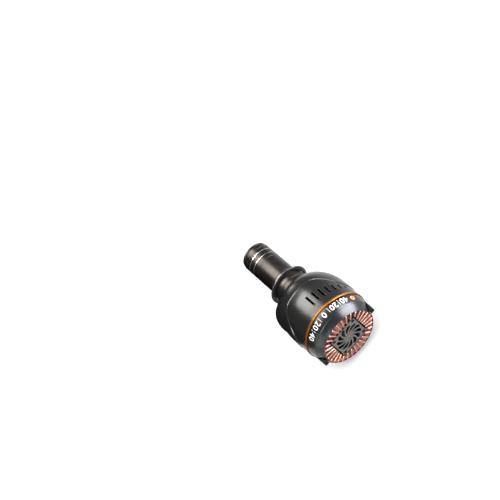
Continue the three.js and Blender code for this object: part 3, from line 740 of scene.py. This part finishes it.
# The USB socket's blocks are (width, height, corner, from, to).
USB = {"angle": -92, "station": 53, "opening": (9, 5, 1.2, *OPENING_HEIGHTS), "shell": (8, 4, 1.5, 41, 51.8),
       "mouth": (7.1, 3.1, 1.1, 46.3, 53), "tongue": (5.4, 0.7, 0.3, 46, 51)}
POWER = {"angle": -108, "station": 58, "opening": 5.5}


def cap_radius(station, degrees):
    base = min(on_curve(CAP, station), CAP[0][1])
    if not FULL_SHOULDER[0][0] < station < CAP_FRONT:
        return base
    away = abs((degrees - SHOULDER["middle"] + 540) % 360 - 180) / SHOULDER["half_spread"]
    share = 0 if away >= 1 else cos(pi / 2 * away) ** 2
    return base + (on_curve(FULL_SHOULDER, station) - base) * share


def cap_loop(degrees):
    """The cap's closed section at an angle: its outside, its inside and the chamfer at its rear edge."""
    rear = parting_station(degrees)
    steps = [1 - (1 - t) ** CAP_GRID["crowding"] for t in spaced(0, 1, CAP_GRID["along"])]
    stations = [lerp(rear + CAP_CHAMFER["along"], CAP_FRONT, t) for t in steps]
    outside = [(cap_radius(s, degrees), s) for s in stations]
    inside = [(r, s) for s, r in CAP_INNER if s > rear + 1]
    inside.append((min(CAP_INNER[-1][1], on_line(sorted(CAP_INNER[3:]), rear)), rear))
    inside += [inside[-1]] * (len(CAP_INNER) + 1 - len(inside))
    chamfer = (cap_radius(rear, degrees) - CAP_CHAMFER["drop"], rear)
    return [around(r, s, degrees) for r, s in (*outside, *inside, chamfer)]


def placed(outline, socket):
    """An outline of (across, along), moved to a socket's station."""
    return [(u, v + socket["station"]) for u, v in outline]


def usb_block(part):
    width, height, corner, low, high = USB[part]
    return prism(placed(rounded_rectangle(width, height, corner), USB), low, high, outward(USB["angle"]))


def front_cap():
    mesh = bmesh.new()
    loops = []
    for i in range(CAP_GRID["round"]):
        loops.append([mesh.verts.new(p) for p in cap_loop(360 * i / CAP_GRID["round"])])
    bridge(mesh, loops + loops[:1])
    bmesh.ops.remove_doubles(mesh, verts=mesh.verts, dist=1e-4)
    bmesh.ops.dissolve_degenerate(mesh, edges=mesh.edges, dist=1e-4)
    # The cap's finish carries a painted highlight along its edges.
    cap = mesh_piece("front_cap_skin", mesh, "graphite_shell", ["front_cap"], finish=GRAPHITE_EDGE_HIGHLIGHT)
    power_hole = placed(circle(POWER["opening"], 48), POWER)
    subtract(cap, add_prism(usb_block("opening"), power_hole, *OPENING_HEIGHTS, outward(POWER["angle"])))
    soften(cap, 0.12, 2, 40)


front_cap()

# ---- neck, lip and nosepiece

NECK = [(98.5, 20), (98.5, 32.5, 0.3), (101.1, 32.5, 0.3), (101.1, 25, 0.2), (109.6, 25, 0.2),
        (110.1, 26.6, 0.3), (112, 26.6, 0.4), (112.7, 25, 0.4), (117, 25, 0.15), (117.5, 24.3, 0.2),
        (118.2, 24.3, 0.2), (118.7, 25, 0.15), (130, 25, 0.3), (130, 21.4, 0.3), (117.6, 21.4),
        (117.6, 20, 0.2)]
LIP = [(127.2, 25.3), (127.2, 28, 0.8), (127.9, 30.3, 0.5), (128.4, 30.75, 0.15), (129.8, 30.75, 0.1),
       (130, 30.4, 0.15), (130, 25.3)]
# A thin band, proud of the lip's rim, in a lighter metal that paints the rim's highlight.
LIP_HIGHLIGHT_BAND = [(128.9, 30.4), (128.9, 31, 0.15), (129.6, 31, 0.15), (129.6, 30.4)]
NOSE = {"radius": 22.1, "bore": 18.5, "shoulder": 130.3, "spigot": 203, "spigot_radius": 20.9, "front": 208}
GROOVES = {"stations": (138.5, 173, 196.5), "radius": 21.95}
LINES = {"stations": (181, 190), "root": 22.0, "crest": 22.13, "width": 0.55}
THREAD = {"from": 117.9, "pitch": 0.75, "spigot_turns": 5}
GLARE = {"from": 207, "count": 84, "root": 18.95}  # inside the bore, against stray light


def nosepiece_outline():
    pitch = THREAD["pitch"]
    shoulder, spigot, front = NOSE["shoulder"], NOSE["spigot"], NOSE["front"]
    corners = [(THREAD["from"], 18.6, 0.2), (THREAD["from"], 20.8, 0.2)]
    for i in range(int((shoulder - THREAD["from"] - 0.6) / pitch)):
        s = THREAD["from"] + 0.3 + i * pitch
        corners += [(s + 0.1, 21), (s + pitch * 0.5, 20.55)]
    corners += [(shoulder, 20.6), (shoulder, NOSE["radius"], 0.35)]
    for s in GROOVES["stations"]:
        for along, radius in ((0, NOSE["radius"]), (0.2, GROOVES["radius"]), (0.6, GROOVES["radius"]),
                              (0.8, NOSE["radius"])):
            corners.append((s + along, radius, 0.06))
    corners += [(spigot, NOSE["radius"], 0.35), (spigot, 20.35, 0.15), (spigot + 0.7, 20.35, 0.1)]
    for i in range(THREAD["spigot_turns"]):
        s = spigot + 0.9 + i * pitch
        corners += [(s, NOSE["spigot_radius"]), (s + pitch * 0.5, 20.45)]
    corners += [(front - 0.3, NOSE["spigot_radius"]), (front, 20.6), (front, 18.9, 0.2),
                (front - 0.4, NOSE["bore"], 0.1)]
    for i in range(GLARE["count"]):
        s = GLARE["from"] - i
        corners += [(s, NOSE["bore"]), (s - 0.5, GLARE["root"])]
    return corners


turned("neck_barrel", NECK, "gunmetal", ["neck"])
turned("lip_flange", LIP, "black_anodised", ["lip_ring"])
turned("lip_rim_highlight_band", LIP_HIGHLIGHT_BAND, "black_anodised", finish=LIP_RIM_HIGHLIGHT)
turned("nosepiece_barrel", nosepiece_outline(), "gunmetal", ["nosepiece_tube"], TUBE)
for number, station in enumerate(LINES["stations"], 1):
    root, crest, end = LINES["root"], LINES["crest"], station + LINES["width"]
    turned(f"nosepiece_line_{number}", [(station, root), (station, crest), (end, crest), (end, root)],
           "gunmetal", facets=TUBE, finish=FINISH["bare_aluminium"])

# ---- heat sink

SINK_FRONT = 18
SINK_DISH = [(24, 2.2), (27, 3.8), (30, 4.8), (33, 5), (36, 4.7), (38.5, 3.7), (41, 2.2)]  # (radius, station)
POCKET = {"half": 24.2, "corner": 1.5, "floor": 14}
FIN = {"count": 30, "width": 3, "taper": 0.5, "inner": 23.8, "outer": 40.9, "root": 5.3}
# A fin's ends are rounded by sections (reach from its start or outer end, narrowed by, lowest station).
FIN_START = ((0, 0.35, 0.5), (0.5, 0, 0))
FIN_END = ((-1.4, 0, 0), (-0.4, 0.05, 0.4), (0, 0.3, 1.3))


def fin_section(half):
    """A fin's tapered cross-section from its root over a rounded crest, as (across, station)."""
    crest = half - FIN["taper"]
    angles = spaced(0, pi, 8)
    arc = [(crest * cos(a), crest * (1 - sin(a))) for a in angles]
    return [(half, FIN["root"]), *arc, (-half, FIN["root"])]


def add_fin(mesh, degrees):
    a = radians(degrees)
    edge = (POCKET["half"] + 0.1) / max(abs(sin(a)), abs(cos(a)))
    start = max(FIN["inner"], edge + 0.3)
    place = outward(degrees)
    sections = [(start + reach, narrow, lowest) for reach, narrow, lowest in FIN_START]
    sections += [(FIN["outer"] + reach, narrow, lowest) for reach, narrow, lowest in FIN_END]
    loops = []
    for reach, narrow, lowest in sections:
        section = fin_section(FIN["width"] / 2 - narrow)
        loops.append([mesh.verts.new(place(w, max(s, lowest), reach)) for w, s in section])
    bridge(mesh, loops)
    mesh.faces.new(loops[0])
    mesh.faces.new(loops[-1])


def heat_sink():
    inner, outer = SINK_DISH[0][0], SINK_DISH[-1][0]
    dish = [(on_curve(SINK_DISH, r), r) for r in spaced(inner, outer, 24)]
    outline = [(SINK_DISH[0][1], 0), *dish, (SINK_FRONT, outer, 0.3), (SINK_FRONT, 0)]
    piece = turned("heat_sink_base", outline, "copper", ["heat_sink"])
    side = 2 * POCKET["half"]
    subtract(piece, prism(rounded_rectangle(side, side, POCKET["corner"]), 0, POCKET["floor"]))
    soften(piece, 0.25)
    fins = bmesh.new()
    for i in range(FIN["count"]):
        add_fin(fins, 360 * i / FIN["count"])
    mesh_piece("heat_sink_fins", fins, "copper", sharp=50)


heat_sink()

# ---- fan cover

COVER = {"side": 44.6, "corner": 4, "from": 0.9, "to": 2.3, "screw_hole": 2.8}
SWIRL = {"count": 12, "first": 25.5, "sweep": 27, "inner": 6.8, "outer": 21.2, "share": 0.2, "least": 0.25}
COVER_RING = [(0.5, 4.4), (1.4, 4.4), (1.4, 5.6), (0.5, 5.6)]
COVER_BORE = [(0.5, 0), (0.5, 2.6), (1.5, 2.6), (1.5, 0)]
COVER_BOSS = [(1.6, 0), (1.1, 0), (1.1, 1.9, 0.3), (1.6, 2.2, 0.1)]
SCREW_REACH = 18.5


def add_corner_holes(mesh, radius, low, high):
    """Adds the four holes of the fan's screws."""
    for x in (-SCREW_REACH, SCREW_REACH):
        for z in (-SCREW_REACH, SCREW_REACH):
            add_prism(mesh, circle(radius, SMALL, x, z), low, high)


def swirl_slot(start):
    """One swirling slot of the fan cover: narrow by the hub, wide and blunt at its outer end."""
    left, right = [], []
    for t in spaced(0, 1, 16):
        distance = lerp(SWIRL["inner"], SWIRL["outer"], t)
        swell = (1 - (1 - t) ** 2.5) * (1 - t**10)
        half = SWIRL["share"] * distance * swell + SWIRL["least"]
        angle = start - radians(SWIRL["sweep"]) * t
        for hand, side in ((-1, left), (1, right)):
            turn = angle + hand * half / distance
            side.append((distance * cos(turn), distance * sin(turn)))
    return left + right[::-1]


def fan_cover():
    plate = rounded_rectangle(COVER["side"], COVER["side"], COVER["corner"], 8)
    piece = mesh_piece("fan_cover_plate", prism(plate, COVER["from"], COVER["to"]), "nickel", ["fan_cover"])
    below, above = 0, 4
    cutters = bmesh.new()
    for i in range(SWIRL["count"]):
        start = radians(SWIRL["first"] + 360 * i / SWIRL["count"])
        add_prism(cutters, swirl_slot(start), below, above)
    add_corner_holes(cutters, COVER["screw_hole"], below, above)
    add_turned(cutters, COVER_RING, MEDIUM)
    add_turned(cutters, COVER_BORE, SMALL)
    subtract(piece, cutters)
    soften(piece, 0.2)
    turned("fan_cover_boss", COVER_BOSS, "nickel", facets=SMALL)


fan_cover()

# ---- side lugs

LUG = [(0.4, 42.9, 0.3), (10.5, 48), (16.4, 49.02, 0.1), (15.6, 49.2, 1.2), (1.2, 49.2, 1.4),
       (0.4, 48.2, 1.4)]
LUG_WIDTH = 8.8
LUG_BORE = {"radius": 1.9, "reach": 46.4, "floor": 2.5}


def side_lug(side, degrees):
    place = outward(degrees)
    block = prism(filleted(LUG), -LUG_WIDTH / 2, LUG_WIDTH / 2, lambda s, r, w: place(w, s, r))
    piece = mesh_piece(f"side_lug_{side}_block", block, "gloss_black", [f"side_lug_{side}"])
    bore = circle(LUG_BORE["radius"], SMALL, 0, LUG_BORE["reach"])
    subtract(piece, prism(bore, -1, LUG_BORE["floor"], lambda w, r, s: place(w, s, r)))
    soften(piece, 0.5, 3, 30)


side_lug("right", 90)
side_lug("left", -90)

# ---- fan

FAN = {"side": 45, "corner": 4, "from": 2.6, "to": 12.6, "bore": 21.4, "hub_from": 10.9, "screw_hole": 2.3}
FAN_BORE = [(2, 0), (2, 22), (3.2, FAN["bore"]), (12, FAN["bore"]), (13.2, 22), (13.2, 0)]
FAN_HUB = [(FAN["hub_from"], 0), (FAN["hub_from"], 11, 0.3), (FAN["to"], 11, 0.3), (FAN["to"], 0)]
BEARING_TUBE = [(7.2, 2.7), (7.2, 3.6), (11, 3.6), (11, 2.7)]
STRUT = {"half": 1, "from": 10.6, "angles": (20, 110, 200, 290)}
ROTOR_HUB = [(3.4, 0), (3.4, 11, 1.1), (10.5, 11, 0.2), (10.5, 9.5, 0.1), (5.1, 9.5, 0.3), (5.1, 2.4),
             (6.7, 2.4), (6.7, 1.3), (4.5, 1.3), (4.5, 0)]
ROTOR_LABEL = [(3.3, 0), (3.3, 6, 0.05), (3.5, 6), (3.5, 0)]
ROTOR_MIDDLE = (ROTOR_HUB[0][0] + ROTOR_HUB[2][0]) / 2
# A pair is the blade's value at its root and at its tip.
BLADE = {"count": 7, "reach": (10.4, 20.5), "chord": (7.544, 8.036), "thickness": (0.95, 0.7125),
         "pitch": (56, 40), "camber": 0.9, "sweep": 0.9}
BLADE_GRID = {"outward": 10, "half_section": 12}


def blade_section(t):
    """The blade's closed section from its root, t = 0, to its tip, t = 1, as (across, station)."""
    lean = radians(90 - lerp(*BLADE["pitch"], t))
    chord = lerp(*BLADE["chord"], t)
    thickness = lerp(*BLADE["thickness"], t)
    points = []
    for side in (1, -1):
        for angle in spaced(0, pi, BLADE_GRID["half_section"])[:-1]:
            c = -cos(angle) * side
            across = side * thickness / 2 * math.sqrt(max(0, 1 - c * c)) + BLADE["camber"] * (1 - c * c)
            along = c * chord / 2
            points.append((across * cos(lean) - along * sin(lean) + BLADE["sweep"] * t * t,
                           ROTOR_MIDDLE + across * sin(lean) + along * cos(lean)))
    return points


def fan_rotor():
    body = "fan_impeller"
    turned("fan_rotor_hub", ROTOR_HUB, "black_plastic", ["fan_rotor"], MEDIUM, body)
    turned("fan_rotor_label", ROTOR_LABEL, "white_ceramic", (), MEDIUM, body)
    blades = bmesh.new()
    for i in range(BLADE["count"]):
        place = outward(360 * i / BLADE["count"])
        loops = []
        for t in spaced(0, 1, BLADE_GRID["outward"]):
            reach = lerp(*BLADE["reach"], t)
            loops.append([blades.verts.new(place(w, s, reach)) for w, s in blade_section(t)])
        bridge(blades, loops)
        blades.faces.new(loops[0])
        blades.faces.new(loops[-1])
    mesh_piece("fan_rotor_blades", blades, "black_plastic", body=body, sharp=50)


def fan_frame():
    block = prism(rounded_rectangle(FAN["side"], FAN["side"], FAN["corner"], 8), FAN["from"], FAN["to"])
    piece = mesh_piece("fan_frame_ring", block, "black_plastic", ["fan_frame"])
    cutters = add_turned(bmesh.new(), FAN_BORE, MEDIUM)
    add_corner_holes(cutters, FAN["screw_hole"], 2, 13)
    subtract(piece, cutters)
    soften(piece, 0.3)
    struts = add_turned(bmesh.new(), filleted(FAN_HUB), MEDIUM)
    add_turned(struts, BEARING_TUBE, MEDIUM)
    half, start, end = STRUT["half"], STRUT["from"], FAN["bore"] + 0.3
    bar = [(-half, start), (half, start), (half, end), (-half, end)]
    for degrees in STRUT["angles"]:
        place = outward(degrees)
        add_prism(struts, bar, FAN["hub_from"], FAN["to"], lambda u, v, w, place=place: place(u, w, v))
    mesh_piece("fan_frame_struts", struts, "black_plastic")


fan_rotor()
fan_frame()

# ---- screws

FAN_SCREW = [(1.1, 0), (1.1, 2, 0.35), (3, 2, 0.1), (3, 1.2), (13.6, 1.2, 0.3), (13.6, 0)]
LUG_SCREW = [(0.5, 0), (0.5, 1.6, 0.3), (2.2, 1.6, 0.1), (2.2, 0.8), (5.5, 0.8, 0.2), (5.5, 0)]
CROSS = {"half": 0.3, "reach": 1.15}


def crossed_recess(degrees):
    """A cross's twelve corners, turned by an angle."""
    half, reach = CROSS["half"], CROSS["reach"]
    corners = []
    for quarter in range(4):
        turn = Matrix.Rotation(radians(degrees + 90 * quarter), 2)
        for corner in ((-half, -reach), (half, -reach), (half, -half)):
            corners.append(tuple(turn @ Vector(corner)))
    return corners


def screw(name, corners, recess, depth, x, z):
    """A screw along the axis at a place, with a recess cut into its head."""
    piece = turned(name, corners, "steel", [name], 48, BODY, (x, 0, z), BLACK_STEEL)
    top = corners[0][0]
    subtract(piece, prism([(u + x, v + z) for u, v in recess], top - 0.5, top + depth))
    soften(piece, 0.06, 1, 50)


for number in range(4):
    node = frame["nodes"][f"fan_screw_{number + 1}"]
    middle = sum((node.matrix_world @ Vector(corner) for corner in node.bound_box), Vector()) / 8 / MM
    screw(node.name, FAN_SCREW, crossed_recess(15 + 37 * number), 0.9, middle.x, middle.z)
for side, reach in (("right", LUG_BORE["reach"]), ("left", -LUG_BORE["reach"])):
    screw(f"lug_screw_{side}", LUG_SCREW, circle(0.9, 6), 1.1, reach, 0)

# ---- sockets in the cap's left tongue

CONTACT = {"width": 0.42, "height": 0.1, "corner": 0.04, "count": 6, "pitch": 0.84, "face": 0.37,
           "from": 47, "to": 50.6}
BARREL_ROOT = [(44, 0), (44, 4.6), (48, 4.6)]
RIDGES = {"from": 48.4, "pitch": 0.7, "count": 6, "crest": 5.0, "root": 4.65}
BARREL_MOUTH = [(53.2, 5.0, 0.1), (54.2, 5.0, 0.35), (54.2, 2.9, 0.4), (45.2, 2.9), (45.2, 0)]
POWER_PIN = [(45, 0), (45, 1), (53.2, 1, 0.6), (53.2, 0)]
POWER_NUT = {"radius": 7.4, "first": 30, "bore": 5.15, "from": 52.7, "to": 54}


def usb_socket():
    piece = mesh_piece("usb_socket_shell", usb_block("shell"), "steel", ["usb_socket"])
    subtract(piece, usb_block("mouth"))
    soften(piece, 0.12, 2, 50)
    soften(mesh_piece("usb_socket_tongue", usb_block("tongue"), "black_plastic"), 0.1)
    contacts = bmesh.new()
    outline = rounded_rectangle(CONTACT["width"], CONTACT["height"], CONTACT["corner"], 2)
    for k in range(CONTACT["count"]):
        across = CONTACT["pitch"] * (k - (CONTACT["count"] - 1) / 2)
        for face in (-CONTACT["face"], CONTACT["face"]):
            strip = placed([(u + across, v + face) for u, v in outline], USB)
            add_prism(contacts, strip, CONTACT["from"], CONTACT["to"], outward(USB["angle"]))
    mesh_piece("usb_socket_contacts", contacts, "steel", finish=GOLD)


def power_socket():
    place = outward(POWER["angle"])

    def point(radius, height, degrees):
        a = radians(degrees)
        return place(radius * cos(a), POWER["station"] + radius * sin(a), height)

    ridges = []
    for k in range(RIDGES["count"]):
        height = RIDGES["from"] + k * RIDGES["pitch"]
        ridges += [(height, RIDGES["crest"]), (height + RIDGES["pitch"] / 2, RIDGES["root"])]
    barrel = add_spun(bmesh.new(), filleted(BARREL_ROOT + ridges + BARREL_MOUTH), 64, point)
    mesh_piece("power_socket_barrel", barrel, "black_plastic", ["power_socket"])
    mesh_piece("power_socket_pin", add_spun(bmesh.new(), filleted(POWER_PIN), 64, point), "steel")
    hexagon = placed(circle(POWER_NUT["radius"], 6, start=POWER_NUT["first"]), POWER)
    nut = mesh_piece("power_socket_nut_hexagon", prism(hexagon, POWER_NUT["from"], POWER_NUT["to"], place),
                     "steel", ["power_socket_nut"])
    bore = placed(circle(POWER_NUT["bore"], 64), POWER)
    subtract(nut, prism(bore, POWER_NUT["from"] - 0.7, POWER_NUT["to"] + 1, place))
    soften(nut, 0.28, 3, 30)


usb_socket()
power_socket()

# ---- shutter leaves

LEAF = {"left": 92.1, "right": 93, "thickness": 0.5}
LEAF_OUTLINE = [(-0.7, -9.6, 0.2), (12, -9.6, 2.4), (12, 9.6, 2.4), (7.5, 17.6, 2), (7.5, 33, 3),
                (1.5, 33, 3), (1.5, 12.6, 2.5), (-0.7, 9.6, 1.2)]
LEAF_BORE = 1.3
LEAF_HUB = [(92.1, LEAF_BORE), (92.1, 4.2, 0.2), (94, 4.2, 0.2), (94, LEAF_BORE)]
LEAF_PIVOT = (4.5, 33)


def shutter_leaf(side, hand):
    body = f"shutter_{side}"
    low = LEAF[side]
    x, z = hand * LEAF_PIVOT[0], LEAF_PIVOT[1]
    paddle = prism([(hand * u, v) for u, v in filleted(LEAF_OUTLINE)], low, low + LEAF["thickness"])
    piece = mesh_piece(f"shutter_leaf_{side}_paddle", paddle, "black_plastic", [f"shutter_leaf_{side}"], body)
    subtract(piece, prism(circle(LEAF_BORE, SMALL, x, z), low - 1, low + 2))
    soften(piece, 0.1)
    turned(f"shutter_leaf_{side}_hub", LEAF_HUB, "black_plastic", (), 64, body, (x, 0, z))


shutter_leaf("left", -1)
shutter_leaf("right", 1)

# ---- floor, lights and camera

FLOOR = [(-6, -6), (6, -6), (6, 6), (-6, 6)]
FLOOR_GLOW = 0.35
FLOOR_Z = cad_low.z - 0.0005
CARD_Z = FLOOR_Z + 0.002
CARD = [(-2.5, -0.12), (-0.062, -0.12), (-0.062, -0.06), (-0.035, -0.06), (-0.035, 0.08), (0.03, 0.08),
        (0.03, 0.25), (0.6, 0.3), (0.6, 3), (-2.5, 3)]
OBJECT_MIDDLE = Vector((0, -0.13, 0))


def flat_sheet(name, corners, height, finish):
    """A flat sheet in metres, at a height."""
    data = bpy.data.meshes.new(name)
    data.from_pydata([(x, y, height) for x, y in corners], [], [range(len(corners))])
    data.materials.append(finish.material)
    return add_object(name, data)


floor_finish = Finish("floor_paint", (0.83, 0.83, 0.84), 0.6, Emission_Strength=FLOOR_GLOW,
                      Emission_Color=(1, 1, 1, 1))
floor_finish.set("Roughness", floor_finish.ranged(floor_finish.noise(6, 3), 0.55, 0.65))
floor = flat_sheet("floor", FLOOR, FLOOR_Z, floor_finish)

# A dark card lies on the floor ahead of the object and to its left. It is seen only in reflections, and
# stands in for the dark equipment that the camera is plugged into.
card = flat_sheet("dark_card", CARD, CARD_Z, FINISH["black_rubber"])
for ray in ("camera", "diffuse", "shadow", "transmission"):
    setattr(card, f"visible_{ray}", False)

lit_object = bpy.data.collections.new("lit_object")
lit_floor = bpy.data.collections.new("lit_floor")
lit_floor.objects.link(floor)
for piece in scene.objects:
    if piece.type == "MESH" and piece not in (floor, card):
        lit_object.objects.link(piece)


def softbox(name, direction, distance, width, height, power, lit, color=(1, 1, 1)):
    """An area light that faces the object from a direction, and lights only some of the pieces."""
    data = bpy.data.lights.new(name, "AREA")
    data.shape = "RECTANGLE"
    data.size, data.size_y = width, height
    data.energy = power
    data.color = color
    lamp = add_object(name, data)
    away = Vector(direction).normalized()
    lamp.location = OBJECT_MIDDLE + away * distance
    lamp.rotation_mode = "QUATERNION"
    lamp.rotation_quaternion = away.to_track_quat("Z", "Y")
    lamp.light_linking.receiver_collection = lit


softbox("key_softbox", (-0.09, 0.53, 0.84), 1.5, 1.1, 0.7, 52, lit_object, (1.0, 0.985, 0.95))
softbox("side_softbox", (0.88, -0.22, 0.40), 1.5, 1.1, 1.3, 150, lit_object, (0.9, 0.93, 1.0))
softbox("left_softbox", (-0.95, -0.16, 0.25), 1.5, 0.8, 1.3, 13, lit_object)
softbox("front_softbox", (-0.02, 0.99, 0.035), 1.6, 0.3, 0.2, 2.2, lit_object)
softbox("rear_softbox", (-0.29, -0.80, 0.53), 1.8, 1.4, 0.5, 72, lit_object)
softbox("floor_softbox", (0, 0, 1), 2.2, 3.0, 3.0, 100, lit_floor)

world = bpy.data.worlds.new("studio")
world.use_nodes = True
background = world.node_tree.nodes["Background"]
background.inputs["Color"].default_value = (0.96, 0.98, 1.0, 1)
background.inputs["Strength"].default_value = 0.2
scene.world = world

# The photographed view: the aim point lands off the picture's centre, as in the photograph.
CAMERA_RIGHT = Vector((0.6537, -0.6416, -0.4015))
CAMERA_UP = Vector((0.7568, 0.5541, 0.3468))
CAMERA_BACK = Vector((0, -0.5305, 0.8478))
AIM = Vector((0, -0.210, 0))
DISTANCE = 1.836
SENSOR_WIDTH = 36
PICTURE = 500
FOCAL_PIXELS = 1382
AIM_PIXEL = (350.46, 337.89)

camera_data = bpy.data.cameras.new("camera")
camera_data.sensor_width = SENSOR_WIDTH
camera_data.lens = FOCAL_PIXELS * SENSOR_WIDTH / PICTURE
camera_data.clip_start = 0.05
camera_data.clip_end = 30
camera = add_object("camera", camera_data)
camera.location = AIM + CAMERA_BACK * DISTANCE
axes = Matrix((CAMERA_RIGHT, CAMERA_UP, CAMERA_BACK)).transposed()
aim_across, aim_down = [(pixel - PICTURE / 2) / FOCAL_PIXELS for pixel in AIM_PIXEL]
to_aim = Vector((aim_across, -aim_down, -1))
swing = to_aim.normalized().rotation_difference(Vector((0, 0, -1)))
camera.rotation_mode = "QUATERNION"
camera.rotation_quaternion = (axes @ swing.to_matrix()).to_quaternion()
scene.camera = camera

scene.view_settings.view_transform = "Standard"
